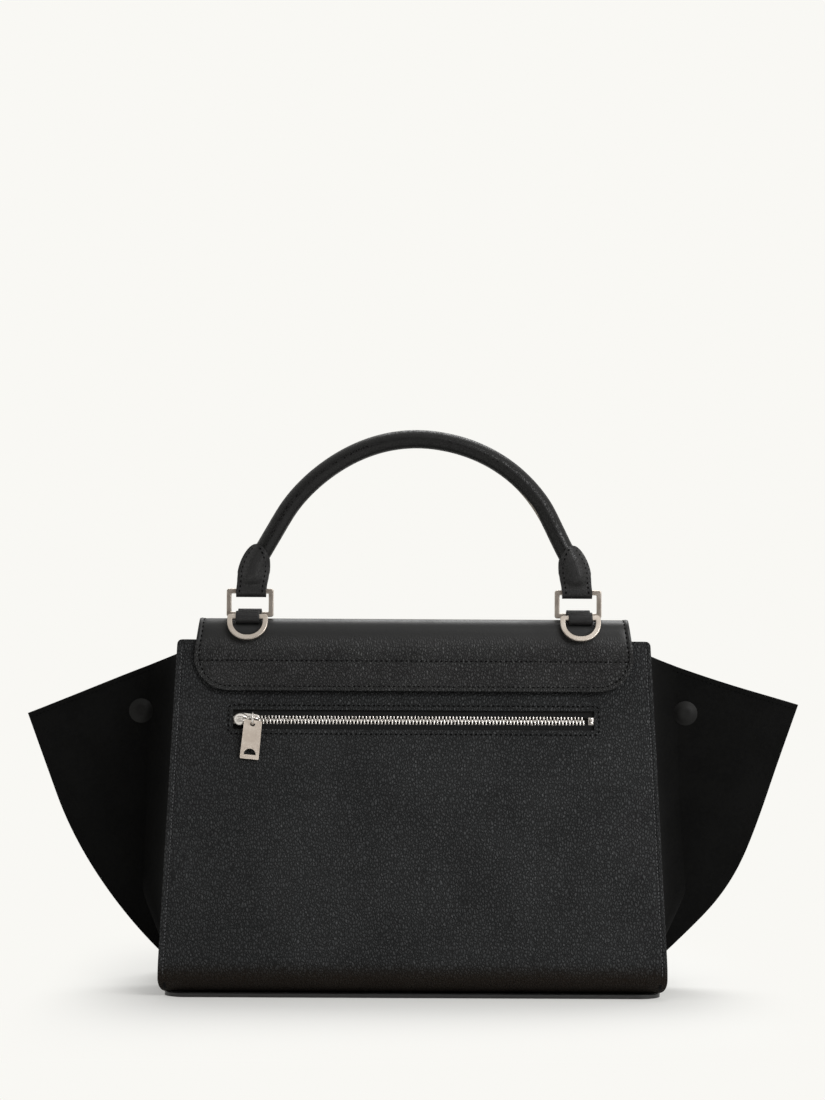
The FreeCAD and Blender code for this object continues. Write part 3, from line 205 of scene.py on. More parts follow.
def graded(start: float, end: float, pitch: float, seams: Iterable[float] = (), marks: Iterable[float] = (),
           fine: float = 0.55 * MM) -> list[float]:
    """Grid lines between two places, closer beside seams.

    Args:
        start: First line.
        end: Last line.
        pitch: Largest distance between lines.
        seams: Places that get close lines on both sides.
        marks: Places that get a line of their own.
        fine: Distance between the close lines.

    Returns:
        The lines in order.
    """
    wanted = [start, end, *marks]
    for seam in seams:
        wanted += [seam + step * fine for step in range(-SEAM_LINES, SEAM_LINES + 1)]
    kept = [start]
    firm = {round(value, SAME_DIGITS) for value in (start, end, *marks)}
    for value in sorted(value for value in wanted if start < value <= end):
        if value - kept[-1] > MERGE_SHARE * fine:
            kept.append(value)
        elif round(value, SAME_DIGITS) in firm and round(kept[-1], SAME_DIGITS) not in firm:
            kept[-1] = value
    lines = []
    for first, second in zip(kept, kept[1:]):
        count = max(1, math.ceil((second - first) / pitch - 1e-6))
        lines += [first + (second - first) * index / count for index in range(count)]
    return [*lines, kept[-1]]


def corner_lines(radius: float, steps: int = 9) -> list[float]:
    """Distances from an end at which the rows of a rounded corner lie."""
    return [radius * (1 - math.cos(math.pi / 2 * step / steps)) for step in range(1, steps + 1)]


# Meshes


def placed(name: str, data: bpy.types.ID) -> Piece:
    """An object for a mesh, a light or a camera, linked to the scene."""
    piece = bpy.data.objects.new(name, data)
    bpy.context.collection.objects.link(piece)
    return piece


def finished(name: str, work: bmesh.types.BMesh) -> Piece:
    """An object from a working mesh, which is used up."""
    mesh = bpy.data.meshes.new(name)
    work.to_mesh(mesh)
    work.free()
    return placed(name, mesh)


def mesh_object(name: str, points: Sequence[Vector], faces: Sequence[Sequence[int]]) -> Piece:
    """A smooth mesh object at the origin.

    Args:
        name: The piece's name.
        points: Its vertices.
        faces: Vertex numbers of each face.

    Returns:
        The object, linked to the scene.
    """
    mesh = bpy.data.meshes.new(name)
    mesh.from_pydata([tuple(point) for point in points], [], [tuple(face) for face in faces])
    mesh.validate()
    mesh.shade_smooth()
    return placed(name, mesh)


def freeze(piece: Piece) -> Piece:
    """Replaces a piece's mesh by what its modifiers make of it.

    Args:
        piece: The object to freeze.

    Returns:
        The same object, with no modifiers.
    """
    graph = bpy.context.evaluated_depsgraph_get()
    graph.update()
    mesh = bpy.data.meshes.new_from_object(piece.evaluated_get(graph), preserve_all_data_layers=True,
                                           depsgraph=graph)
    mesh.name = piece.name
    piece.modifiers.clear()
    piece.data = mesh
    mesh.shade_smooth()
    return piece


def grid_piece(name: str, rows: Sequence[Sequence[Vector]], coordinates: Sequence[Sequence[Corner]],
               outward: Vector, skip: Callable[[int, int], bool] | None = None, ring: bool = False) -> Piece:
    """An open sheet of quads.

    Args:
        name: The piece's name.
        rows: Points row by row, all rows alike in count.
        coordinates: A pattern coordinate for each point, in metres.
        outward: Roughly the way that the middle face points.
        skip: Says which cells are left open, by row and column.
        ring: Whether the last column joins the first.

    Returns:
        The object, with its faces turned outward.
    """
    count = len(rows[0])
    points = [point for row in rows for point in row]
    flat = [pair for row in coordinates for pair in row]
    faces = []
    for row in range(len(rows) - 1):
        for column in range(count if ring else count - 1):
            if skip and skip(row, column):
                continue
            following = (column + 1) % count
            faces.append((row * count + column, row * count + following,
                          (row + 1) * count + following, (row + 1) * count + column))
    first, second, third, _ = (points[index] for index in faces[len(faces) // 2])
    if (second - first).cross(third - first).dot(outward) < 0:
        faces = [tuple(reversed(face)) for face in faces]
    piece = mesh_object(name, points, faces)
    layer = piece.data.uv_layers.new(name="cut")
    for loop in piece.data.loops:
        layer.data[loop.index].uv = flat[loop.vertex_index][:2]
    return piece


def thicken(piece: Piece, wall: float, edge: float, finishes: Sequence[Material],
            outside: bool = False) -> Piece:
    """Gives a sheet its wall and rounded edges.

    Args:
        piece: The open sheet, its faces outward.
        wall: Thickness.
        edge: Radius of the edges.
        finishes: Materials of the outer face, the inner face and the edge.
        outside: Whether the wall grows out of the faces, and not inward.

    Returns:
        The same object, frozen.
    """
    for finish in finishes:
        piece.data.materials.append(finish)
    solid = piece.modifiers.new("wall", "SOLIDIFY")
    solid.thickness = wall
    solid.offset = 1.0 if outside else -1.0
    solid.material_offset = 1 if len(finishes) > 1 else 0
    solid.material_offset_rim = 2 if len(finishes) > 2 else 0
    bevel = piece.modifiers.new("edge", "BEVEL")
    bevel.width = edge
    bevel.segments = 2
    bevel.limit_method = "ANGLE"
    bevel.angle_limit = METAL_CREASE
    return freeze(piece)


def dress(piece: Piece, finish: Material) -> Piece:
    """Gives a whole piece one finish."""
    piece.data.materials.clear()
    piece.data.materials.append(finish)
    return piece


def cut_plate(name: str, outlines: Sequence[Sequence[Corner]], wall: float, edge: float,
              place: Matrix) -> Piece:
    """A flat plate with rounded edges, cut to outlines.

    Args:
        name: The piece's name.
        outlines: Closed outlines of points, the outer one first and then its holes.
        wall: Thickness, centred on the outlines' plane.
        edge: Radius of the edges.
        place: Where the plate's own plane goes.

    Returns:
        The plate as a mesh at the origin.
    """
    work = bmesh.new()
    for outline in outlines:
        ring = [work.verts.new((corner[0], corner[1], 0)) for corner in outline]
        for first, second in zip(ring, ring[1:] + ring[:1]):
            work.edges.new((first, second))
    bmesh.ops.triangle_fill(work, use_beauty=True, use_dissolve=False, edges=work.edges, normal=(0, 0, 1))
    bmesh.ops.recalc_face_normals(work, faces=work.faces)
    for face in work.faces:
        if face.normal.z < 0:
            face.normal_flip()
    piece = finished(name, work)
    thicken(piece, wall, edge, [])
    piece.data.transform(place @ Matrix.Translation((0, 0, wall / 2)))
    piece.data.set_sharp_from_angle(angle=PLATE_CREASE)
    return piece


def closed_outline(corners: Sequence[Corner], step: float = 0.4 * MM) -> list[Pair]:
    """Points of a closed outline with rounded corners.

    Args:
        corners: The corners, each with a radius where it is rounded; the first corner is left sharp.
        step: Distance between points on the bends.

    Returns:
        The points, the last one not repeated.
    """
    route = Route([*corners, corners[0]])
    points = []
    for piece in route.pieces:
        count = max(3, math.ceil(piece.length / step)) if isinstance(piece, Bend) else 1
        points += [tuple(piece.at(piece.length * index / count)[0]) for index in range(count)]
    return points


def block(name: str, low: Vector, high: Vector, edge: float, place: Matrix,
          pinch: Callable[[Vector], Vector] | None = None) -> Piece:
    """A block with rounded edges.

    Args:
        name: The piece's name.
        low: Lowest corner in the block's own frame.
        high: Highest corner.
        edge: Radius of its edges.
        place: Where the block's own frame goes.
        pinch: Moves the block's corners before its edges are rounded.

    Returns:
        The block as a mesh at the origin.
    """
    work = bmesh.new()
    bmesh.ops.create_cube(work, size=1.0)
    for vert in work.verts:
        share = vert.co + Vector((0.5, 0.5, 0.5))
        vert.co = Vector(blend_values(low[axis], high[axis], share[axis]) for axis in range(3))
        if pinch:
            vert.co = pinch(vert.co)
    bmesh.ops.bevel(work, geom=list(work.edges), offset=edge, segments=2, affect="EDGES", profile=0.5)
    bmesh.ops.transform(work, matrix=place, verts=work.verts)
    bmesh.ops.recalc_face_normals(work, faces=work.faces)
    piece = finished(name, work)
    piece.data.shade_smooth()
    piece.data.set_sharp_from_angle(angle=BLOCK_CREASE)
    return piece


def sweep(name: str, path: Sequence[tuple[Vector, Vector]], lateral: Vector,
          section: Callable[[float, float], Pair], sides: int) -> Piece:
    """A closed bar along a flat path.

    Args:
        name: The piece's name.
        path: Points and headings along it.
        lateral: The unit normal of the path's plane.
        section: Gives, for a share along the path and an angle, the offsets to the side of the path and
            along the lateral.
        sides: Points round the bar.

    Returns:
        The bar with closed ends.
    """
    rows, pattern = [], []
    for index, (point, heading) in enumerate(path):
        share = index / (len(path) - 1)
        normal = lateral.cross(heading).normalized()
        row = []
        for step in range(sides):
            away, over = section(share, 2 * math.pi * step / sides)
            row.append(point + normal * away + lateral * over)
        rows.append(row)
        pattern.append([(share, step / sides) for step in range(sides)])
    piece = grid_piece(name, rows, pattern, Vector((0, 0, 1)), ring=True)
    work = bmesh.new()
    work.from_mesh(piece.data)
    bmesh.ops.holes_fill(work, edges=[edge for edge in work.edges if edge.is_boundary], sides=0)
    bmesh.ops.recalc_face_normals(work, faces=work.faces)
    work.to_mesh(piece.data)
    work.free()
    piece.data.shade_smooth()
    return piece


def joined(name: str, pieces: Sequence[Piece]) -> Piece:
    """Joins pieces of one body into one object.

    Args:
        name: The new piece's name.
        pieces: The objects, which are used up.

    Returns:
        The joined object.
    """
    work = bmesh.new()
    for piece in pieces:
        work.from_mesh(piece.data)
        bpy.data.objects.remove(piece)
    whole = finished(name, work)
    whole.data.shade_smooth()
    whole.data.set_sharp_from_angle(angle=METAL_CREASE)
    return whole


def assign(piece: Piece, body: str | None, slot: str, *nodes: str) -> None:
    """Says where a piece belongs.

    Args:
        piece: The piece.
        body: The body that it rides, or None to leave it unattached.
        slot: Not used.
        *nodes: The solids that it stands for.
    """
    if body:
        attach(piece, body)
    if nodes:
        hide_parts(*nodes)


# Node trees


class Graph:
    """Adds nodes to a tree and links them."""

    def __init__(self, tree: Tree) -> None:
        """Takes the tree that is added to."""
        self.tree = tree

    def node(self, kind: str, inputs: dict[Any, Any] | None = None, **settings: Any) -> bpy.types.Node:
        """Adds a node.

        Args:
            kind: The node's type.
            inputs: Values or linked sockets, by the input's name or number.
            **settings: The node's own settings.

        Returns:
            The node.
        """
        node = self.tree.nodes.new(kind)
        for key, value in settings.items():
            setattr(node, key, value)
        for key, value in (inputs or {}).items():
            self.feed(node.inputs[key], value)
        return node

    def feed(self, socket: Socket, value: Any) -> None:
        """Links a socket into an input, or sets the input's value."""
        if isinstance(value, Socket):
            self.tree.links.new(value, socket)
        else:
            socket.default_value = value

    def fill(self, sockets: Any, values: dict[str, Any]) -> None:
        """Feeds inputs by their names."""
        for name, value in values.items():
            self.feed(sockets[name], value)

    def math(self, operation: str, first: Any, second: Any = 0.0) -> Socket:
        """The result of a sum on two values."""
        return self.node("ShaderNodeMath", {0: first, 1: second}, operation=operation).outputs[0]

    def times(self, first: Any, second: Any) -> Socket:
        """One value times another."""
        return self.math("MULTIPLY", first, second)

    def plus(self, first: Any, second: Any) -> Socket:
        """The sum of two values."""
        return self.math("ADD", first, second)

    def minus(self, first: Any, second: Any) -> Socket:
        """One value less another."""
        return self.math("SUBTRACT", first, second)

    def noise(self, place: Socket, scale: float, detail: float, output: str = "Fac") -> Socket:
        """Cloudy noise at a place."""
        inputs = {"Vector": place, "Scale": scale, "Detail": detail}
        return self.node("ShaderNodeTexNoise", inputs).outputs[output]

    def vector(self, operation: str, first: Any, second: Any) -> Socket:
        """The result of a sum on two vectors."""
        return self.node("ShaderNodeVectorMath", {0: first, 1: second}, operation=operation).outputs[0]

    def scaled(self, vector: Any, factor: Any) -> Socket:
        """A vector times a factor."""
        return self.node("ShaderNodeVectorMath", {0: vector, "Scale": factor}, operation="SCALE").outputs[0]

    def remap(self, value: Any, low: float, high: float, to_low: float = 0.0, to_high: float = 1.0,
              smooth: bool = True) -> Socket:
        """A value moved from one range to another.

        Args:
            value: The socket that is read.
            low: Start of its range.
            high: End of its range.
            to_low: What the start becomes.
            to_high: What the end becomes.
            smooth: Whether the change eases in and out.

        Returns:
            The new value.
        """
        return self.node("ShaderNodeMapRange", {"Value": value, "From Min": low, "From Max": high,
                                                "To Min": to_low, "To Max": to_high},
                         interpolation_type="SMOOTHSTEP" if smooth else "LINEAR").outputs["Result"]

    def mix(self, share: Any, first: Any, second: Any) -> Socket:
        """A colour between two others."""
        return self.node("ShaderNodeMix", {0: share, 6: first, 7: second}, data_type="RGBA").outputs[2]


def new_group(name: str, kind: str, inputs: Sequence[tuple[str, str, Any]],
              outputs: Sequence[tuple[str, str]]) -> tuple[Tree, Graph, Any, bpy.types.Node]:
    """A node group with named sockets.

    Args:
        name: The group's name.
        kind: Its tree type.
        inputs: Name, socket type and first value of each input.
        outputs: Name and socket type of each output.

    Returns:
        The tree, its graph, the group input's sockets and the group output node.
    """
    tree = bpy.data.node_groups.new(name, kind)
    for label, socket_type, value in inputs:
        socket = tree.interface.new_socket(name=label, in_out="INPUT", socket_type="NodeSocket" + socket_type)
        if value is not None:
            socket.default_value = value
    for label, socket_type in outputs:
        tree.interface.new_socket(name=label, in_out="OUTPUT", socket_type="NodeSocket" + socket_type)
    graph = Graph(tree)
    return tree, graph, graph.node("NodeGroupInput").outputs, graph.node("NodeGroupOutput")


class Effects:
    """Shader groups that more than one finish uses."""

    def __init__(self) -> None:
        """Builds the groups."""
        self.grain = self._grain()
        self.drift = self._drift()
        self.weave = self._weave()

    @staticmethod
    def _grain() -> Tree:
        """Pebbled leather: rounded pebbles of uneven size, creases between them and fine pores."""
        tree, graph, given, result = new_group(
            "leather_grain", "ShaderNodeTree",
            [("Vector", "Vector", None), ("Pebble", "Float", 1.5 * MM), ("Wander", "Float", 0.6)],
            [("Height", "Float"), ("Crease", "Float"), ("Facet", "Float")])
        rate = graph.math("DIVIDE", 1.0, given["Pebble"])
        place = graph.vector("MULTIPLY", graph.scaled(given["Vector"], rate), (1.0, 1.0, 0.62))
        stir = graph.noise(place, 0.45, 1.0, "Color")
        reach = graph.times(given["Wander"], 2.0)
        stir = graph.vector("SUBTRACT", stir, (0.5, 0.5, 0.5))
        place = graph.vector("ADD", place, graph.scaled(stir, reach))
        pebbles = {"Vector": place, "Scale": 1.0, "Randomness": 0.9}
        folds = {"Vector": place, "Scale": 0.46, "Randomness": 1.0}
        rims = [graph.node("ShaderNodeTexVoronoi", cells, feature="DISTANCE_TO_EDGE")
                for cells in (pebbles, folds)]
        small, large = (rim.outputs["Distance"] for rim in rims)
        cell = graph.node("ShaderNodeTexVoronoi", pebbles).outputs["Color"]
        facet = graph.node("ShaderNodeSeparateColor", {0: cell}).outputs[0]
        pores = graph.noise(place, 4.0, 2.0)
        pebble = graph.remap(small, 0.0, 0.32)
        fold = graph.remap(large, 0.0, 0.16)
        height = graph.plus(graph.times(pebble, 0.65), graph.times(fold, 0.15))
        height = graph.plus(height, graph.times(graph.times(facet, pebble), 0.12))
        height = graph.plus(height, graph.times(pores, 0.03))
        graph.feed(result.inputs["Height"], height)
        flat = graph.times(graph.remap(small, -0.04, 0.27), graph.remap(large, 0.0, 0.1, 0.8, 1.0))
        graph.feed(result.inputs["Crease"], graph.minus(1.0, flat))
        graph.feed(result.inputs["Facet"], facet)
        return tree

    @staticmethod
    def _drift() -> Tree:
        """Slow change of tone over a surface, with finer mottling in it."""
        tree, graph, given, result = new_group(
            "tone_drift", "ShaderNodeTree",
            [("Vector", "Vector", None), ("Reach", "Float", 40 * MM), ("Mottle", "Float", 0.35)],
            [("Mask", "Float")])
        place = graph.scaled(given["Vector"], graph.math("DIVIDE", 1.0, given["Reach"]))
        slow = graph.noise(place, 1.0, 2.0)
        fine = graph.noise(place, 9.0, 3.0)
        fine = graph.times(graph.minus(fine, 0.5), given["Mottle"])
        graph.feed(result.inputs["Mask"], graph.remap(graph.plus(slow, fine), 0.3, 0.7))
        return tree

    @staticmethod
    def _weave() -> Tree:
        """Twill: slanted ribs of warp with the crossing threads between them."""
        tree, graph, given, result = new_group(
            "twill_weave", "ShaderNodeTree",
            [("Vector", "Vector", None), ("Pitch", "Float", 0.7 * MM), ("Slant", "Float", 1.0)],
            [("Height", "Float"), ("Tone", "Float")])
        place = graph.scaled(given["Vector"], graph.math("DIVIDE", 2 * math.pi, given["Pitch"]))
        parts = graph.node("ShaderNodeSeparateXYZ", {0: place}).outputs
        slanted = graph.plus(parts["X"], graph.times(parts["Y"], given["Slant"]))
        rib = graph.math("SINE", slanted)
        cross = graph.math("SINE", graph.times(parts["Y"], 2.0))
        height = graph.plus(graph.times(rib, 0.35), graph.times(cross, 0.15))
        noise = graph.noise(place, 0.5, 2.0)
        graph.feed(result.inputs["Height"], graph.plus(height, 0.5))
        graph.feed(result.inputs["Tone"], graph.times(graph.plus(rib, 1.5), noise))
        return tree


# Finishes


def cleared(owner: Material | bpy.types.World) -> Graph:
    """The emptied node tree of a material or a world."""
    owner.use_nodes = True
    owner.node_tree.nodes.clear()
    return Graph(owner.node_tree)


class Finish:
    """A finish: one material with its own nodes."""

    name: str

    def material(self, effects: Effects) -> Material:
        """The finish's material.

        Args:
            effects: The shared shader groups.

        Returns:
            The new material.
        """
        material = bpy.data.materials.new(self.name)
        graph = cleared(material)
        shader = graph.node("ShaderNodeBsdfPrincipled")
        graph.node("ShaderNodeOutputMaterial", {"Surface": shader.outputs[0]})
        self.paint(graph, shader.inputs, effects)
        return material

    def paint(self, graph: Graph, shader: Any, effects: Effects) -> None:
        """Links the finish's own nodes into the shader's inputs."""
        raise NotImplementedError

    @staticmethod
    def place(graph: Graph) -> Socket:
        """Object coordinates."""
        return graph.node("ShaderNodeTexCoord").outputs["Object"]

    @staticmethod
    def group(graph: Graph, tree: Tree, **inputs: Any) -> Any:
        """Places a shared group and returns its outputs."""
        return graph.node("ShaderNodeGroup", inputs, node_tree=tree).outputs

    @staticmethod
    def raise_up(graph: Graph, height: Any, depth: float, strength: float = 1.0) -> Socket:
        """A normal that shows a height as relief."""
        relief = {"Height": height, "Distance": depth, "Strength": strength}
        return graph.node("ShaderNodeBump", relief).outputs[0]


def grey(level: float) -> Colour:
    """A plain grey."""
    return level, level, level, 1


@dataclass(frozen=True)
class Leather(Finish):
    """Dyed leather with a pebbled or fine grain; its foot colour is painted shade, and its calm band has
    flattened grain with a painted sheen.
    """

    name: str
    colour: Colour
    crest: Colour
    pebble: float
    relief: float
    roughness: float
    specular: float
    # Painted shade: near its bottom the face blends into this darker brown foot colour, in place of shade and
    # dim reflection.
    foot: Colour | None = None
    foot_fade: Pair = (23 * MM, 11 * MM)
    foot_rough: float = 0.3
    # The calm band flattens the grain; its even, lighter tone there is a painted sheen.
    calm: Pair | None = None
    calm_keep: float = 0.04
    calm_tone: float = 0.25
    crease_rough: float = 0.4
    drift_rough: float = 0.05
    drift_tone: float = 0.75
    facet_tone: float = 0.7

    def paint(self, graph: Graph, shader: Any, effects: Effects) -> None:
        """Links grain, tone and gloss into the shader's inputs."""
        place = self.place(graph)
        height = graph.node("ShaderNodeSeparateXYZ", {0: place}).outputs["Z"]
        grain = self.group(graph, effects.grain, Vector=place, Pebble=self.pebble)
        drift = self.group(graph, effects.drift, Vector=place)["Mask"]
        crease, facet, keep = grain["Crease"], grain["Facet"], 1.0
        # Painted sheen: in the calm band the grain's tone is evened out to a lighter value.
        if self.calm:
            keep = graph.remap(height, *self.calm, 1.0, self.calm_keep)
            even = graph.times(graph.minus(1.0, keep), self.calm_tone)
            crease = graph.plus(graph.times(crease, keep), even)
            facet = graph.plus(graph.times(facet, keep), even)
        share = graph.times(graph.minus(1.0, crease), graph.remap(drift, 0, 1, self.drift_tone, 1.0))
        share = graph.times(share, graph.remap(facet, 0, 1, self.facet_tone, 1.0, smooth=False))
        tone = graph.mix(share, self.colour, self.crest)
        rough = graph.remap(crease, 0, 1, self.roughness, self.roughness + self.crease_rough)
        # Painted shade: towards the bottom the tone turns into the darker brown foot colour; the added
        # roughness is real.
        if self.foot:
            foot_shade = graph.remap(height, *self.foot_fade)
            tone = graph.mix(foot_shade, tone, self.foot)
            rough = graph.plus(rough, graph.times(foot_shade, self.foot_rough))
        graph.fill(shader, {
            "Base Color": tone, "Specular IOR Level": self.specular,
            "Roughness": graph.plus(rough, graph.remap(drift, 0, 1, self.drift_rough, -self.drift_rough)),
            "Normal": self.raise_up(graph, graph.times(grain["Height"], keep), self.relief)})


@dataclass(frozen=True)
class Suede(Finish):
    """Brushed suede: a dull nap with strokes lighter and darker."""

    name: str
    colour: Colour
    stroke: Colour
    stroke_reach: float = 22 * MM
    stroke_mottle: float = 0.9
    nap_rate: float = 2600.0
    nap_tone: float = 0.4
    nap_relief: float = 0.12 * MM
    nap_strength: float = 0.7
    roughness: Pair = (0.85, 1.0)
    specular: float = 0.12
    sheen: float = 0.04
    sheen_roughness: float = 0.5

    def paint(self, graph: Graph, shader: Any, effects: Effects) -> None:
        """Links strokes and nap into the shader's inputs."""
        place = self.place(graph)
        strokes = self.group(graph, effects.drift, Vector=place, Reach=self.stroke_reach,
                             Mottle=self.stroke_mottle)
        nap = graph.noise(place, self.nap_rate, 2.0)
        share = graph.times(strokes["Mask"], graph.remap(nap, 0.3, 0.7, self.nap_tone, 1.0))
        graph.fill(shader, {
            "Base Color": graph.mix(share, self.colour, self.stroke),
            "Roughness": graph.remap(nap, 0, 1, *self.roughness),
            "Normal": self.raise_up(graph, nap, self.nap_relief, self.nap_strength),
            "Specular IOR Level": self.specular,
            "Sheen Weight": self.sheen, "Sheen Roughness": self.sheen_roughness})


@dataclass(frozen=True)
class Cloth(Finish):
    """Woven cloth whose threads follow the piece's own cut."""

    name: str
    colour: Colour
    light: Colour
    pitch: float
    slant: float
    roughness: float = 0.85
    rough_spread: float = 0.08
    relief: float = 0.12 * MM
    specular: float = 0.2

    def paint(self, graph: Graph, shader: Any, effects: Effects) -> None:
        """Links the weave into the shader's inputs."""
        cut = graph.node("ShaderNodeUVMap", uv_map="cut").outputs[0]
        weave = self.group(graph, effects.weave, Vector=cut, Pitch=self.pitch, Slant=self.slant)
        graph.fill(shader, {
            "Base Color": graph.mix(weave["Tone"], self.colour, self.light),
            "Roughness": graph.remap(weave["Tone"], 0, 1, self.roughness + self.rough_spread, self.roughness),
            "Normal": self.raise_up(graph, weave["Height"], self.relief),
            "Specular IOR Level": self.specular})


@dataclass(frozen=True)
class Metal(Finish):
    """Plated metal with fine brushing and rubbed patches."""

    name: str
    colour: Colour
    rubbed: Colour
    roughness: float
    brushing: Triple = (900.0, 900.0, 260.0)
    metallic: float = 1.0
    specular: float = 0.5
    patches: float = 0.8
    patch_reach: float = 9 * MM
    patch_rough: float = 0.05
    brush_rough: Pair = (-0.05, 0.08)
    brush_relief: float = 0.006 * MM
    brush_strength: float = 0.4

    def paint(self, graph: Graph, shader: Any, effects: Effects) -> None:
        """Links brushing and rubbing into the shader's inputs."""
        place = self.place(graph)
        drift = self.group(graph, effects.drift, Vector=place, Reach=self.patch_reach,
                           Mottle=self.patches)["Mask"]
        streaks = graph.vector("MULTIPLY", place, self.brushing)
        brush = graph.noise(streaks, 6.0, 3.0)
        rough = graph.remap(brush, 0.3, 0.7, *(self.roughness + spread for spread in self.brush_rough))
        graph.fill(shader, {
            "Base Color": graph.mix(drift, self.colour, self.rubbed),
            "Roughness": graph.plus(rough, graph.remap(drift, 0, 1, 0.0, self.patch_rough)),
            "Normal": self.raise_up(graph, brush, self.brush_relief, self.brush_strength),
            "Metallic": self.metallic, "Specular IOR Level": self.specular})


@dataclass(frozen=True)
class Fibre(Finish):
    """Thread, rope or pressed board: dull fibres in strands."""

    name: str
    colour: Colour
    light: Colour
    strands: Triple
    relief: float
    roughness: float = 0.75
    specular: float = 0.4
    rough_spread: float = 0.15
    patch_reach: float = 15 * MM

    def paint(self, graph: Graph, shader: Any, effects: Effects) -> None:
        """Links strands into the shader's inputs."""
        place = graph.vector("MULTIPLY", self.place(graph), self.strands)
        strand = graph.noise(place, 1.0, 3.0)
        drift = self.group(graph, effects.drift, Vector=self.place(graph), Reach=self.patch_reach)["Mask"]
        share = graph.times(graph.remap(strand, 0.25, 0.75), graph.remap(drift, 0, 1, 0.6, 1.0))
        graph.fill(shader, {
            "Base Color": graph.mix(share, self.colour, self.light),
            "Roughness": graph.remap(strand, 0, 1, self.roughness, self.roughness + self.rough_spread),
            "Normal": self.raise_up(graph, strand, self.relief), "Specular IOR Level": self.specular})


class Wardrobe:
    """Every finish of the bag, by the work it does."""

    def __init__(self) -> None:
        """Builds the finishes."""
        effects = Effects()
        # The grained panels' foot colour is painted shade, darker brown towards the bottom.
        self.grained = Leather("grained_black", (0.0045, 0.0047, 0.0049, 1), (0.0302, 0.032, 0.0334, 1),
                               pebble=1.5 * MM, relief=0.66 * MM, roughness=0.49, specular=0.28,
                               foot=(0.0082, 0.0046, 0.0017, 1)).material(effects)
        # The flap's calm band at the ridge flattens the grain and paints a sheen there.
        self.hide = Leather("flap_black", grey(0.001), (0.0205, 0.0208, 0.021, 1),
                            pebble=1.5 * MM, relief=0.5 * MM, roughness=0.44, specular=0.36,
                            calm=(203 * MM, 216 * MM)).material(effects)
        self.fine = Leather(
            "fine_black", (0.008, 0.0078, 0.0078, 1), (0.018, 0.0177, 0.018, 1),
            pebble=1.0 * MM, relief=0.06 * MM, roughness=0.36, specular=0.36).material(effects)
        self.rolled = Leather(
            "rolled_black", (0.0035, 0.0033, 0.0032, 1), (0.0062, 0.0061, 0.0062, 1),
            pebble=1.4 * MM, relief=0.02 * MM, roughness=0.29, specular=0.27).material(effects)
        self.smooth = Leather(
            "smooth_black", (0.013, 0.0126, 0.0128, 1), (0.019, 0.0185, 0.0192, 1),
            pebble=0.9 * MM, relief=0.03 * MM, roughness=0.40, specular=0.35).material(effects)
        self.edge = Leather("edge_paint", grey(0.005), grey(0.011),
                            pebble=0.6 * MM, relief=0.02 * MM, roughness=0.30, specular=0.6).material(effects)
        self.suede = Suede("brushed_suede", (0.0009, 0.0009, 0.0008, 1),
                           (0.0026, 0.0026, 0.0024, 1)).material(effects)
        self.lining = Cloth("lining_twill", (0.010, 0.0095, 0.009, 1), (0.04, 0.038, 0.035, 1),
                            pitch=0.8 * MM, slant=1.0).material(effects)
        self.tape = Cloth("tape_twill", grey(0.004), grey(0.012),
                          pitch=0.75 * MM, slant=0.0).material(effects)
        self.pale = Metal("pale_plating", (0.44, 0.385, 0.335, 1), (0.50, 0.45, 0.40, 1),
                          roughness=0.32, patches=0.15).material(effects)
        self.brushed = Metal("brushed_plate", (0.70, 0.61, 0.53, 1), (0.78, 0.70, 0.62, 1),
                             roughness=0.48, brushing=(300.0, 300.0, 1500.0), metallic=0.9).material(effects)
        self.zip_metal = Metal("zip_plating", (0.62, 0.59, 0.55, 1), (0.72, 0.69, 0.66, 1),
                               roughness=0.24).material(effects)
        self.snap = Metal("dark_enamel", (0.005, 0.0049, 0.0046, 1), (0.008, 0.0078, 0.0075, 1),
                          roughness=0.5, metallic=0.0, specular=0.16).material(effects)
        self.thread = Fibre("black_thread", grey(0.0008), grey(0.003), strands=(3000, 3000, 3000),
                            relief=0.1 * MM, roughness=0.8, specular=0.08).material(effects)
        # The edge thread's light grey colour is a painted glint; its low roughness is real shine.
        self.waxed = Fibre("waxed_thread", (0.04, 0.04, 0.042, 1), (0.14, 0.14, 0.145, 1),
                           strands=(3000, 3000, 3000), relief=0.1 * MM, roughness=0.4).material(effects)
        self.board = Fibre("pressed_board", (0.09, 0.075, 0.06, 1), (0.2, 0.175, 0.145, 1),
                           strands=(260, 260, 900), relief=0.1 * MM).material(effects)
        self.rope = Fibre("rope_fibre", (0.28, 0.25, 0.2, 1), (0.5, 0.46, 0.39, 1),
                          strands=(500, 900, 900), relief=0.3 * MM).material(effects)

    @property
    def leather(self) -> list[Material]:
        """Outer face, inner face and edge of a leather piece."""
        return [self.grained, self.smooth, self.edge]


# Repeats along a path


def spaced(graph: Graph, given: Any) -> Socket:
    """Points at a group's Pitch along the edges of its Geometry."""
    curve = graph.node("GeometryNodeMeshToCurve", {"Mesh": given["Geometry"]}).outputs[0]
    return graph.node("GeometryNodeResampleCurve", {"Curve": curve, "Length": given["Pitch"]},
                      mode="LENGTH").outputs[0]


def hand_over(graph: Graph, shape: Socket, given: Any, result: bpy.types.Node) -> None:
    """Gives a group's shape its Finish and hands it to the group's output."""
    dressed = graph.node("GeometryNodeSetMaterial", {"Geometry": shape, "Material": given["Finish"]})
    graph.feed(result.inputs["Geometry"], dressed.outputs[0])


@dataclass(frozen=True)
class Thread:
    """How a row is sewn: the stitches' distance, length and thickness, and whether they get the glossy thread
    whose light grey colour is a painted glint.
    """

    pitch: float = 3.0 * MM
    stitch: float = 1.7 * MM
    thick: float = 1.0 * MM
    waxed: bool = False


PLAIN_THREAD = Thread()
# Edge rows get the glossy thread with a painted glint.
EDGE_THREAD = Thread(2.1 * MM, 1.5 * MM, 0.7 * MM, True)
FLAP_THREAD = Thread(thick=0.85 * MM)
WING_THREAD = Thread(2.6 * MM, thick=0.6 * MM)


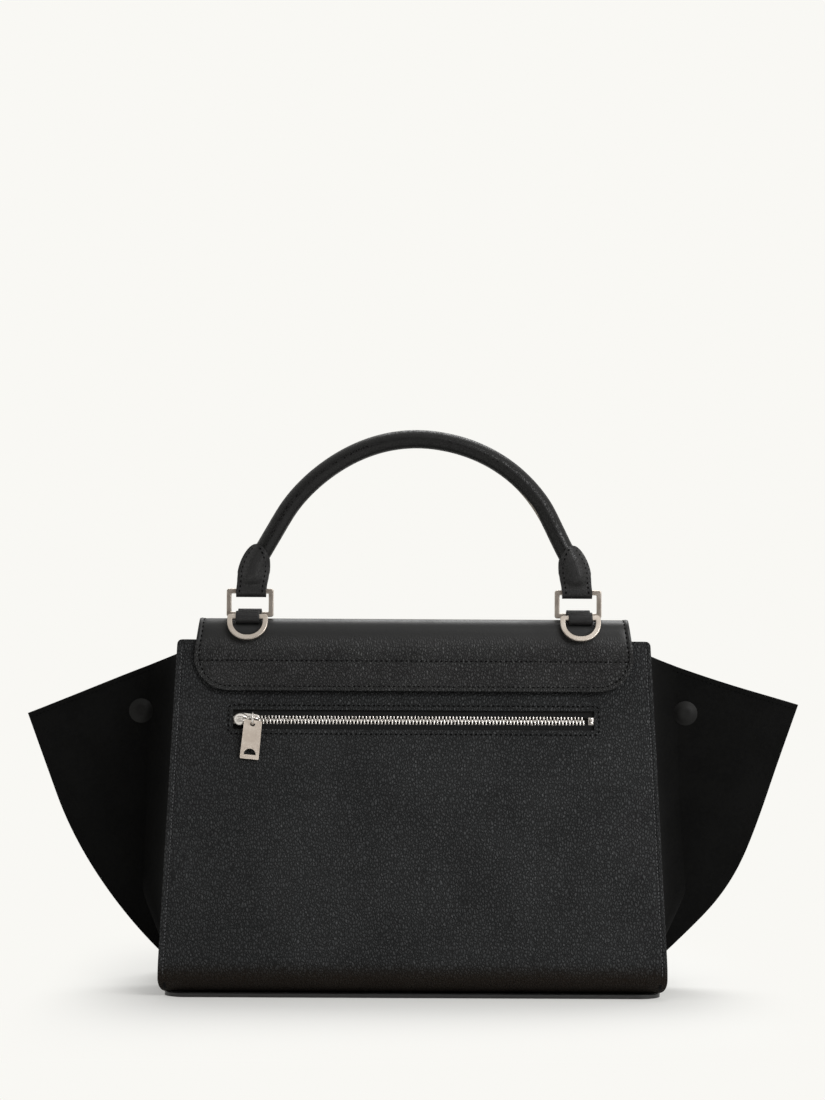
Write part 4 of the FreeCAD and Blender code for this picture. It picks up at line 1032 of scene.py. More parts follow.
class Stitching:
    """Rows of thread, gathered by the piece they are sewn to and laid by one tree of geometry nodes."""

    def __init__(self, wardrobe: Wardrobe) -> None:
        """Takes the threads' finishes and builds the tree."""
        self.wardrobe = wardrobe
        self.lines: dict[str, list[Polyline]] = {}
        self.tree = self._tree()

    @staticmethod
    def _tree() -> Tree:
        """A tree that lays one rounded stitch after another along edges."""
        tree, graph, given, result = new_group(
            "stitch_row", "GeometryNodeTree",
            [("Geometry", "Geometry", None), ("Pitch", "Float", 2.3 * MM), ("Stitch", "Float", 1.7 * MM),
             ("Thread", "Float", 0.5 * MM), ("Unevenness", "Float", 0.12), ("Seed", "Int", 7),
             ("Finish", "Material", None)],
            [("Geometry", "Geometry")])
        points = spaced(graph, given)
        tangent = graph.node("GeometryNodeInputTangent").outputs[0]
        turn = graph.node("FunctionNodeAlignRotationToVector", {"Vector": tangent}, axis="Z").outputs[0]
        low = graph.scaled((-1.0, -1.0, 0.0), given["Unevenness"])
        high = graph.scaled((1.0, 1.0, 0.0), given["Unevenness"])
        sway = graph.node("FunctionNodeRandomValue", {"Min": low, "Max": high, "Seed": given["Seed"]},
                          data_type="FLOAT_VECTOR").outputs[0]
        sway = graph.node("FunctionNodeEulerToRotation", {0: sway}).outputs[0]
        turn = graph.node("FunctionNodeRotateRotation", {"Rotation": turn, "Rotate By": sway},
                          rotation_space="LOCAL").outputs[0]
        thread = given["Thread"]
        size = graph.node("ShaderNodeCombineXYZ", {"X": thread, "Y": thread, "Z": given["Stitch"]}).outputs[0]
        round_one = {"Segments": 6, "Rings": 4, "Radius": 0.5}
        ball = graph.node("GeometryNodeMeshUVSphere", round_one).outputs["Mesh"]
        laid = graph.node("GeometryNodeInstanceOnPoints",
                          {"Points": points, "Instance": ball, "Rotation": turn, "Scale": size}).outputs[0]
        real = graph.node("GeometryNodeRealizeInstances", {"Geometry": laid}).outputs[0]
        smooth = graph.node("GeometryNodeSetShadeSmooth", {"Geometry": real}).outputs[0]
        hand_over(graph, smooth, given, result)
        return tree

    def add(self, key: str, *lines: Polyline) -> None:
        """Notes rows of stitches for a piece."""
        self.lines.setdefault(key, []).extend(lines)

    def build(self, key: str, thread: Thread = PLAIN_THREAD) -> Piece:
        """Lays the rows noted for a piece.

        Args:
            key: The piece's key in the notes.
            thread: How the rows are sewn.

        Returns:
            One mesh of stitches.
        """
        mesh = bpy.data.meshes.new("stitches_" + key)
        points, edges = [], []
        for line in self.lines[key]:
            first = len(points)
            points += [tuple(point) for point in line]
            edges += [(first + index, first + index + 1) for index in range(len(line) - 1)]
        mesh.from_pydata(points, edges, [])
        piece = placed("stitches_" + key, mesh)
        lay_tree(piece, self.tree, Pitch=thread.pitch, Stitch=thread.stitch, Thread=thread.thick,
                 Finish=self.wardrobe.waxed if thread.waxed else self.wardrobe.thread)
        return freeze(piece)


def lay_tree(piece: Piece, tree: Tree, **values: Any) -> None:
    """Adds a tree of geometry nodes to a piece, with its inputs set by their identifiers.

    Args:
        piece: The object that carries the tree.
        tree: The tree.
        **values: Inputs by name.
    """
    modifier = piece.modifiers.new(tree.name, "NODES")
    modifier.node_group = tree
    for item in tree.interface.items_tree:
        if item.in_out == "INPUT" and item.name in values:
            modifier[item.identifier] = values[item.name]


def tooth_tree() -> Tree:
    """A tree that sets a zip tooth at an even pitch along edges.

    Returns:
        The tree, with its pitch, tooth and finish as inputs.
    """
    tree, graph, given, result = new_group(
        "tooth_row", "GeometryNodeTree",
        [("Geometry", "Geometry", None), ("Pitch", "Float", 2.08 * MM), ("Tooth", "Object", None),
         ("Finish", "Material", None)],
        [("Geometry", "Geometry")])
    points = spaced(graph, given)
    tooth = graph.node("GeometryNodeObjectInfo", {"Object": given["Tooth"], "As Instance": True})
    laid = graph.node("GeometryNodeInstanceOnPoints", {
        "Points": points, "Instance": tooth.outputs["Geometry"]}).outputs[0]
    real = graph.node("GeometryNodeRealizeInstances", {"Geometry": laid}).outputs[0]
    hand_over(graph, real, given, result)
    return tree


# The bag


@dataclass(frozen=True)
class Form:
    """The leaning, tapering form that every piece of the bag follows."""

    height: float = 212 * MM
    foot: float = 2.3 * MM
    top_half_depth: float = 33 * MM
    base_half_depth: float = 75 * MM
    base_half_width: float = 151.25 * MM
    top_half_width: float = 143.5 * MM
    wall_inset: float = 4.7 * MM

    @property
    def slope(self) -> float:
        """How far a panel leans in per unit of height."""
        return (self.base_half_depth - self.top_half_depth) / (self.height - self.foot)

    @property
    def lean(self) -> float:
        """The panels' lean as an angle."""
        return math.atan(self.slope)

    @property
    def skew(self) -> float:
        """Length along a leaning panel per unit of height."""
        return 1 / math.cos(self.lean)

    def half_depth(self, height: float) -> float:
        """Distance of a panel's outer face from the middle plane."""
        return self.top_half_depth + self.slope * (self.height - height)

    def half_width(self, height: float) -> float:
        """Half the panels' width."""
        return blend_values(self.base_half_width, self.top_half_width, height / self.height)

    def wall(self, height: float) -> float:
        """Distance of a side wall's outer face from the middle."""
        return self.half_width(height) - self.wall_inset

    def face(self, half: Half, height: float) -> Matrix:
        """A frame on a panel's outer face: x across, y up the leather, z out of it.

        Args:
            half: The rear or the front panel.
            height: Height of the frame's origin.

        Returns:
            The frame as a matrix.
        """
        sign = half.value
        up = Vector((0, -sign * math.sin(self.lean), math.cos(self.lean)))
        out = Vector((0, sign * math.cos(self.lean), math.sin(self.lean)))
        across = up.cross(out)
        place = Matrix((across, up, out)).transposed().to_4x4()
        place.translation = Vector((0, sign * self.half_depth(height), height))
        return place


@dataclass
class Sheet:
    """A sheet that follows a route in the bag's section and spans its width.

    The outer face lies to the left of the route where facing is 1, and to its right where it is -1.
    """

    route: Route
    half_width: Callable[[float], float]
    facing: float
    start_round: float = 0.0
    end_round: float = 0.0
    relief: Callable[[float, float], float] = lambda across, along: 0.0
    steady: float = 60 * MM

    def _ends(self, along: float) -> tuple[Pair, ...]:
        """Distance to each end and the radius of its corners."""
        return (along, self.start_round), (self.route.length - along, self.end_round)

    def edge(self, along: float) -> float:
        """Half the width with the rounded corners taken off."""
        half = self.half_width(along)
        for gap, radius in self._ends(along):
            if gap < radius:
                half -= radius - math.sqrt(max(radius ** 2 - (radius - gap) ** 2, 0.0))
        return half

    def rim_gap(self, across: float, along: float) -> float:
        """Distance of a point from the nearest edge.

        Args:
            across: Where it is across the sheet.
            along: Where it is along the route.

        Returns:
            The distance.
        """
        side = self.half_width(along) - abs(across)
        nearest = side
        for gap, radius in self._ends(along):
            if side < radius and gap < radius:
                nearest = min(nearest, radius - math.hypot(radius - side, radius - gap))
            else:
                nearest = min(nearest, gap)
        return nearest

    def point(self, across: float, along: float, lift: float = 0.0) -> Vector:
        """The outer face's point at a place on the cut sheet."""
        place, heading = self.route.at(along)
        out = Vector((-heading.y, heading.x)) * self.facing
        place = place + out * (lift + self.relief(across, along))
        return Vector((across, place.x, place.y))

    def trace(self, corners: Sequence[Corner], lift: float, step: float = 1.2 * MM) -> Polyline:
        """A line at a lift over the outer face, from its corners on the cut sheet."""
        return [self.point(place.x, place.y, lift) for place, _ in Route(corners).sample(step)]

    def build(self, name: str, columns: Sequence[float], rows: Sequence[float],
              hole: Callable[[float, float], bool] | None = None) -> Piece:
        """The sheet's outer face as a mesh.

        Args:
            name: The piece's name.
            columns: Grid lines across, from edge to edge of the widest row.
            rows: Grid lines along the route.
            hole: Says whether a place on the cut sheet is left open.

        Returns:
            The open sheet, its faces outward.
        """
        widest = max(abs(columns[0]), abs(columns[-1]))
        grid, pattern = [], []
        for along in rows:
            spare = self.edge(along) - widest
            line = []
            for column in columns:
                share = max(abs(column) - self.steady, 0.0) / (widest - self.steady)
                line.append(column + math.copysign(share, column) * spare)
            grid.append([self.point(across, along) for across in line])
            pattern.append([(across, along) for across in line])

        def skip(row: int, column: int) -> bool:
            """Whether the middle of a cell lies in the hole."""
            across = (pattern[row][column][0] + pattern[row + 1][column + 1][0]) / 2
            return bool(hole and hole(across, (rows[row] + rows[row + 1]) / 2))

        middle = (columns[len(columns) // 2], rows[len(rows) // 2])
        outward = self.point(*middle, lift=MM) - self.point(*middle)
        return grid_piece(name, grid, pattern, outward, skip if hole else None)


@dataclass
class Maker:
    """What the makers of sheets work from."""

    form: Form
    wardrobe: Wardrobe
    stitching: Stitching


@dataclass
class Panels(Maker):
    """The grained rear and front panels, with their rounded feet turned under the bag."""

    leather: float = 2 * MM
    foot_round: float = 18 * MM
    turn_under: float = 24 * MM
    corner_low: Pair = (5 * MM, 9 * MM)
    corner_high: float = 3 * MM
    seam_inset: float = 3.0 * MM
    groove: float = 0.5 * MM
    roll: float = 0.5 * MM
    swell: float = 2.4 * MM
    window: Pair = (218 * MM, 12 * MM)
    window_height: float = ZIP_HEIGHT
    window_seam: float = 2.7 * MM
    window_seam_round: float = 2 * MM
    window_groove: float = 0.25 * MM
    window_groove_reach: float = 0.9 * MM
    window_lip: float = 0.15 * MM
    window_lip_gap: float = 0.9 * MM
    window_lip_reach: float = 1.2 * MM
    edge_inset: float = 1 * MM
    edge_round: float = 0.8 * MM
    groove_reach: float = 0.8 * MM
    roll_share: float = 0.4
    roll_reach: float = 1.1 * MM
    seam_fade: Pair = (8 * MM, 24 * MM)
    swell_top: Pair = (152 * MM, 80 * MM)
    swell_foot: Pair = (18 * MM, 70 * MM)
    seam_start: float = 5 * MM
    seam_end_share: float = 0.93
    thread_lift: float = 0.15 * MM
    steady: float = 116 * MM
    pitch: float = 3 * MM
    foot_pitch: float = 1 * MM
    foot_rows: int = 18
    corner_rows: int = 4

    def build(self) -> None:
        """Builds both panels and notes their stitches."""
        for half in Half:
            self._build_half(half)

    def _half_width(self, height: float) -> float:
        """Half a panel's width at a height, with its lower corners rounded off."""
        wide, tall = self.corner_low
        share = max(1 - (height - self.form.foot) / tall, 0.0)
        return self.form.half_width(height) - wide * (1 - math.sqrt(max(1 - share ** 2, 0.0)))

    def _window_gap(self, across: float, along: float) -> float:
        """Distance of a place from the zip's window, below 0 inside it."""
        middle = (self.form.height - self.window_height) * self.form.skew
        side = abs(across) - self.window[0] / 2
        over = abs(along - middle) - self.window[1] / 2
        return math.hypot(max(side, 0), max(over, 0)) + min(max(side, over), 0)

    def _relief(self, sheet: Sheet, half: Half) -> Callable[[float, float], float]:
        """How far a panel's face swells, rolls and sinks at its seams."""
        def relief(across: float, along: float) -> float:
            """The rise at a place on the cut sheet."""
            height = self.form.height - along / self.form.skew
            side = sheet.half_width(along) - abs(across)
            rise = -self.groove * hump(side - self.seam_inset, self.groove_reach)
            rise += self.roll * hump(side - self.roll_share * self.seam_inset, self.roll_reach)
            rise *= ease(height, *self.seam_fade)
            middle = 1 - (across / sheet.half_width(along)) ** 2
            rise += self.swell * middle * ease(height, *self.swell_top) * ease(height, *self.swell_foot)
            if half is Half.REAR:
                gap = self._window_gap(across, along)
                rise -= self.window_groove * hump(gap - self.window_seam, self.window_groove_reach)
                rise += self.window_lip * hump(gap - self.window_lip_gap, self.window_lip_reach)
            return rise
        return relief

    def _build_half(self, half: Half) -> None:
        """Builds one panel."""
        form, sign = self.form, half.value
        route = Route([
            (sign * form.top_half_depth, form.height),
            (sign * form.base_half_depth, form.foot, self.foot_round),
            (sign * (form.base_half_depth - self.turn_under), form.foot),
        ])
        sheet = Sheet(route, lambda along: self._half_width(route.at(along)[0].y),
                      half.value, self.corner_high, steady=self.steady)
        sheet.relief = self._relief(sheet, half)
        middle = (form.height - self.window_height) * form.skew
        reach, rise = self.window[0] / 2, self.window[1] / 2
        seams = [form.base_half_width - inset for inset in (self.seam_inset, self.edge_inset)]
        marks_across = [reach, reach + self.window_seam] if half is Half.REAR else []
        tall = rise + self.window_seam
        marks_along = [middle - rise, middle + rise, middle - tall, middle + tall]
        columns = graded(-form.base_half_width, form.base_half_width, self.pitch,
                         [side * seam for seam in seams for side in (-1, 1)],
                         [side * mark for mark in marks_across for side in (-1, 1)])
        under = self.turn_under - self.foot_round * math.tan(math.pi / 4 - form.lean / 2)
        ends = corner_lines(self.corner_high, self.corner_rows) + [
            route.length - under - step * self.foot_pitch for step in range(self.foot_rows)]
        rows = graded(0, route.length, self.pitch, (), ends + (marks_along if half is Half.REAR else []))
        hole = (lambda across, along: self._window_gap(across, along) < 0) if half is Half.REAR else None
        piece = sheet.build(f"panel_{half.label}", columns, rows, hole)
        thicken(piece, self.leather, self.edge_round, self.wardrobe.leather)
        for vert in piece.data.vertices:
            vert.co.z = min(vert.co.z, form.height)
        assign(piece, "bag", "grained_leather", f"{half.label}_panel")
        for side in (-1, 1):
            corners = [(side * (sheet.half_width(along) - self.seam_inset), along)
                       for along in (self.seam_start, form.height * form.skew * self.seam_end_share)]
            self.stitching.add("edge", sheet.trace(corners, self.thread_lift))
        if half is Half.REAR:
            wide, turn = reach + self.window_seam, self.window_seam_round
            top, bottom = middle - tall, middle + tall
            self.stitching.add("bag", sheet.trace(
                [(0, top), (wide, top, turn), (wide, bottom, turn), (-wide, bottom, turn), (-wide, top, turn),
                 (0, top)], self.thread_lift))
        LOG.info("built the %s panel", half.label)


@dataclass
class Inside(Maker):
    """The base, the lining, the facings inside the mouth and the zip's pocket."""

    base_corner: float = 14 * MM
    base_spare: float = 1.6 * MM
    lining_inset: float = 5.6 * MM
    lining_wall: float = 0.8 * MM
    lining_round: float = 13 * MM
    facing_wall: float = 3.3 * MM
    facing_inset: float = 2.2 * MM
    facing_seam: Pair = (4 * MM, 12.5 * MM)
    pocket_depth: float = 88 * MM
    pocket_plies: Pair = (-3.2 * MM, -4.9 * MM)
    pocket_ends: Pair = (-13 * MM, 12 * MM)
    pocket_wall: float = 0.45 * MM
    pocket_fold: float = 0.8 * MM
    pocket_edge: float = 0.12 * MM
    base_edge: float = 0.5 * MM
    base_step: float = 1.5 * MM
    lining_edge: float = 0.2 * MM
    wave: float = 0.35 * MM
    wave_lengths: Pair = (17 * MM, 31 * MM)
    wave_fade: Pair = (10 * MM, 40 * MM)
    cloth_grid: Pair = (6 * MM, 4 * MM)
    facing_edge: float = 0.9 * MM
    facing_grid: Pair = (5 * MM, 2 * MM)
    facing_steady: float = 50 * MM
    thread_lift: float = 0.05 * MM

    def build(self) -> None:
        """Builds the pieces under and inside the panels."""
        self._build_base()
        self._build_lining()
        self._build_facings()
        self._build_pocket()

    def _build_base(self) -> None:
        """The leather under the bag."""
        low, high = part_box("base_panel")
        wide, deep = (high.x - low.x) / 2 + self.base_spare, (high.y - low.y) / 2
        corners = [(0, -deep), (wide, -deep, self.base_corner), (wide, deep, self.base_corner),
                   (-wide, deep, self.base_corner), (-wide, -deep, self.base_corner)]
        outline = closed_outline(corners, self.base_step)
        piece = cut_plate("base_leather", [outline], high.z - low.z, self.base_edge,
                          Matrix.Translation((0, (low.y + high.y) / 2, (low.z + high.z) / 2)))
        dress(piece, self.wardrobe.edge)
        assign(piece, "bag", "smooth_leather", "base_panel")

    def _cloth(self, name: str, node: str, sheet: Sheet, wall: float, edge: float) -> Piece:
        """A piece of lining cloth.

        Args:
            name: The piece's name.
            node: The solid that it stands for.
            sheet: Its form, alike in width from end to end.
            wall: Thickness.
            edge: Radius of its edges.

        Returns:
            The cloth, which rides on the bag.
        """
        half = sheet.half_width(0)
        across, along = self.cloth_grid
        piece = sheet.build(name, graded(-half, half, across), graded(0, sheet.route.length, along))
        thicken(piece, wall, edge, [self.wardrobe.lining])
        assign(piece, "bag", "lining_cloth", node)
        return piece

    def _build_lining(self) -> None:
        """The lining: one cloth down the rear, across the base and up the front."""
        form = self.form
        low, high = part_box("lining")
        inset = self.lining_inset * form.skew
        top, bottom = high.z, low.z
        corners = [(-(form.half_depth(top) - inset), top),
                   (-(form.half_depth(bottom) - inset), bottom, self.lining_round),
                   (form.half_depth(bottom) - inset, bottom, self.lining_round),
                   (form.half_depth(top) - inset, top)]
        route = Route(corners)
        half = high.x

        def waves(across: float, along: float) -> float:
            """The loose cloth's waves, which die out towards its ends."""
            free = ease(along, *self.wave_fade) * ease(route.length - along, *self.wave_fade)
            phase = along / self.wave_lengths[0] + across / self.wave_lengths[1]
            return -self.wave * (1 + math.sin(phase)) * free

        sheet = Sheet(route, lambda along: half, -1.0, relief=waves)
        piece = self._cloth("lining_cloth", "lining", sheet, self.lining_wall, self.lining_edge)
        LOG.info("built the lining")

    def _build_facings(self) -> None:
        """The leather bands inside the two top edges."""
        form = self.form
        for half in Half:
            low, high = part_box(f"top_facing_{half.label}")
            depth = self.facing_inset * form.skew
            route = Route([(half.value * (form.half_depth(height) - depth), height)
                           for height in (high.z, low.z)])
            wide = high.x
            sheet = Sheet(route, lambda along: wide, half.value, steady=self.facing_steady)
            piece = sheet.build(f"mouth_facing_{half.label}", graded(-wide, wide, self.facing_grid[0]),
                                graded(0, route.length, self.facing_grid[1]))
            thicken(piece, self.facing_wall, self.facing_edge, [self.wardrobe.smooth])
            assign(piece, "bag", "smooth_leather", f"top_facing_{half.label}")
            inner = -(self.facing_wall + self.thread_lift)
            end, down = wide - self.facing_seam[0], self.facing_seam[1]
            self.stitching.add("bag", sheet.trace([(-end, down), (end, down)], inner))

    def _build_pocket(self) -> None:
        """The zip's pocket: a cloth strip folded up behind the panel."""
        face = self.form.face(Half.REAR, ZIP_HEIGHT)
        near, far = self.pocket_plies
        start, end = self.pocket_ends
        marks = [(start, near), (-self.pocket_depth, near), (-self.pocket_depth, far), (end, far)]
        points = [face @ Vector((0, up, out)) for up, out in marks]
        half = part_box("pocket_bag")[1].x
        route = Route([(point.y, point.z, self.pocket_fold) for point in points])
        sheet = Sheet(route, lambda along: half, -1.0)
        piece = self._cloth("pocket_cloth", "pocket_bag", sheet, self.pocket_wall, self.pocket_edge)
        LOG.info("built the pocket")


@dataclass
class Flap(Maker):
    """The flap: sewn to the back, over the top and down the front, with loops for the rings."""

    half_width: float = 133 * MM
    wall: float = 2.4 * MM
    rear_gap: float = 2.5 * MM
    front_gap: float = 4.7 * MM
    rear_edge: float = 181 * MM
    front_edge: float = 100 * MM
    top: float = 225 * MM
    ridge_round: float = 9 * MM
    front_round: float = 16 * MM
    rear_corner: float = 22 * MM
    front_corner: float = 26 * MM
    hinge: float = 199.5 * MM
    seam_inset: float = 2.8 * MM
    groove: float = 0.5 * MM
    roll: float = 0.4 * MM
    flare: float = 2.3 * MM
    taper: float = 3 * MM
    shoulder: float = 0.9 * MM
    sag: float = 1.2 * MM
    lock_height: float = 120 * MM
    lock_slot: Pair = (23 * MM, 12 * MM)
    loop_leather: float = 1.3 * MM
    ridge_centre: Pair = (-25.57 * MM, 216 * MM)
    ring_arm: Pair = (0.0, 11.385 * MM)
    strap_arm: Pair = (-8.203 * MM, 9.776 * MM)
    loop_play: float = 0.1 * MM
    loop_steps: int = 28
    loop_pitch: float = 1.6 * MM
    loop_edge: float = 0.4 * MM
    loop_waist_share: float = 0.03
    neck_shares: Pair = (2.0, 1.15)
    neck_drops: Pair = (0.3 * MM, 0.7 * MM)
    edge_inset: float = 0.9 * MM
    edge_line: float = 2.2 * MM
    edge_round: float = 1.0 * MM
    groove_reach: float = 0.9 * MM
    hinge_groove_share: float = 0.8
    roll_share: float = 0.5
    roll_reach: float = 1.3 * MM
    flare_reach: float = 9 * MM
    sag_start: Pair = (50 * MM, 75 * MM)
    sag_end: Pair = (112 * MM, 90 * MM)
    crown_start: Pair = (26 * MM, 44 * MM)
    crown_end: Pair = (130 * MM, 100 * MM)
    shoulder_reach: float = 5 * MM
    taper_over: float = 6 * MM
    grid: Pair = (3 * MM, 2 * MM)
    front_corner_rows: int = 12
    steady: float = 70 * MM
    thread_lift: float = 0.1 * MM
    hinge_seam_inset: float = 2 * MM
    side_seam_inset: float = 2 * MM
    side_seam_step: float = 5 * MM
    bend_start: Triple = (0, -38.9 * MM, 195.5 * MM)
    bend_end: Triple = (0, -34.2 * MM, 198.3 * MM)

    def build(self) -> None:
        """Builds the flap's leather and its loops."""
        skew = self.form.skew
        route = Route([
            (self._depth(Half.REAR, self.rear_edge), self.rear_edge),
            (self._depth(Half.REAR, self.top), self.top, self.ridge_round),
            (self._depth(Half.FRONT, self.top), self.top, self.front_round),
            (self._depth(Half.FRONT, self.front_edge), self.front_edge),
        ])
        sheet = Sheet(route, lambda along: self._half_width(route.at(along)[0].y), 1.0,
                      self.rear_corner, self.front_corner, steady=self.steady)
        hinge = (self.hinge - self.rear_edge) * skew
        length = route.length
        lock = length - (self.lock_height - self.front_edge) * skew
        slot = [value / 2 for value in self.lock_slot]

        def relief(across: float, along: float) -> float:
            """The rise at a place on the cut flap."""
            gap = sheet.rim_gap(across, along)
            rise = -self.groove * hump(gap - self.seam_inset, self.groove_reach)
            rise += self.roll * hump(gap - self.roll_share * self.seam_inset, self.roll_reach)
            rise -= self.hinge_groove_share * self.groove * hump(along - hinge, self.groove_reach)
            rise += self.flare * ease(along, self.flare_reach, 0.0)
            top = ease(along, *self.sag_start) * ease(along, *self.sag_end)
            rise -= self.sag * top * (1 - (across / self.half_width) ** 4)
            crown = ease(along, *self.crown_start) * ease(along, *self.crown_end)
            end = ease(abs(across), self.half_width - self.shoulder_reach, self.half_width)
            return rise - self.shoulder * crown * end ** 2

        sheet.relief = relief
        seams = [self.half_width - inset for inset in (self.seam_inset, self.edge_inset)]
        rim = self.half_width - self.edge_line
        columns = graded(-self.half_width, self.half_width, self.grid[0],
                         [side * seam for seam in seams for side in (-1, 1)], [-slot[0], slot[0], -rim, rim])
        ends = corner_lines(self.rear_corner)
        ends += [length - gap for gap in corner_lines(self.front_corner, self.front_corner_rows)]
        rows = graded(0, length, self.grid[1], [self.seam_inset, hinge, length - self.seam_inset],
                      ends + [lock - slot[1], lock + slot[1]])
        piece = sheet.build("flap_hide", columns, rows,
                            lambda across, along: abs(across) < slot[0] and abs(along - lock) < slot[1])
        thicken(piece, self.wall, self.edge_round,
                [self.wardrobe.hide, self.wardrobe.smooth, self.wardrobe.edge])
        assign(piece, None, "grained_leather", "flap_leather", "flap_backing", "flap_sewn_strip")
        self.bend(piece)
        wide = self.half_width - self.seam_inset
        near, far = self.seam_inset, length - self.seam_inset
        turns = (self.rear_corner - self.seam_inset, self.front_corner - self.seam_inset)
        first = self.rear_corner + self.side_seam_inset
        last = length - self.front_corner - self.side_seam_inset
        side = [(sheet.half_width(along) - self.seam_inset, along)
                for along in graded(first, last, self.side_seam_step)]
        mirrored = [(-across, along) for across, along in reversed(side)]
        round_edge = [(0, near), (wide, near, turns[0]), *side, (wide, far, turns[1]), (-wide, far, turns[1]),
                      *mirrored, (-wide, near, turns[0]), (0, near)]
        end = wide - self.hinge_seam_inset
        for corners in (round_edge, [(-end, hinge), (end, hinge)]):
            self.stitching.add("flap", sheet.trace(corners, self.thread_lift))
        LOG.info("built the flap")
        for side in Side:
            self._build_loop(f"ring_loop_{side.label}", f"ring_roll_{side.label}")
            self._build_loop(f"strap_loop_{side.label}", f"strap_roll_{side.label}")

    def _depth(self, half: Half, height: float) -> float:
        """Where the flap's outer face lies behind or in front of the middle plane."""
        gap = self.rear_gap if half is Half.REAR else self.front_gap
        return half.value * (self.form.half_depth(height) + gap * self.form.skew)

    def _half_width(self, height: float) -> float:
        """Half the flap's width at a height: it narrows a little up to the ridge."""
        return self.half_width - self.taper * ease(height, self.hinge, self.top + self.taper_over)

    def bend(self, piece: Piece) -> None:
        """Bakes a piece's placement into its mesh; the piece is not bent."""
        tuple(self.bend_start)
        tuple(self.bend_end)
        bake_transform(piece)

    def _build_loop(self, node: str, name: str) -> None:
        """A rolled leather loop that holds a ring's bar on the ridge.

        Args:
            node: The solid that the loop stands for.
            name: The piece's name.
        """
        low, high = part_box(node)
        middle = (low.x + high.x) / 2
        half = (high.x - low.x) / 2
        centre = Vector(self.ridge_centre)
        ring = node.startswith("ring")
        arm = Vector(self.ring_arm if ring else self.strap_arm)
        bore = arm.length - self.ridge_round - self.loop_play - (0.0 if ring else self.loop_leather)
        outer = bore + self.loop_leather
        away = arm.normalized()
        along = Vector((-away.y, away.x))
        neck = self.loop_leather * self.neck_shares[0 if ring else 1]
        start = math.asin(neck / outer)
        drop = -bore - self.neck_drops[0] if ring else -outer - self.neck_drops[1]
        waist = -outer * math.cos(start)
        spots = [(-neck, min(drop, waist - self.loop_play)), (-neck, waist)]
        for step in range(1, self.loop_steps):
            angle = start + (2 * math.pi - 2 * start) * step / self.loop_steps
            spots.append((-outer * math.sin(angle), -outer * math.cos(angle)))
        spots += [(neck, spots[1][1]), (neck, spots[0][1])]
        columns = graded(-half, half, self.loop_pitch)
        rows, pattern, run = [], [], 0.0
        for index, (across, up) in enumerate(spots):
            place = centre + arm + away * up + along * across
            run += math.dist(spots[index], spots[index - 1]) if index else 0.0
            narrow = 1 - self.loop_waist_share * (up / outer) ** 2
            rows.append([Vector((middle + column * narrow, place.x, place.y)) for column in columns])
            pattern.append([(column, run) for column in columns])
        piece = grid_piece(name, rows, pattern, Vector((0, away.x, away.y)))
        thicken(piece, self.loop_leather, self.loop_edge, [self.wardrobe.smooth])
        assign(piece, "flap", "smooth_leather", node)


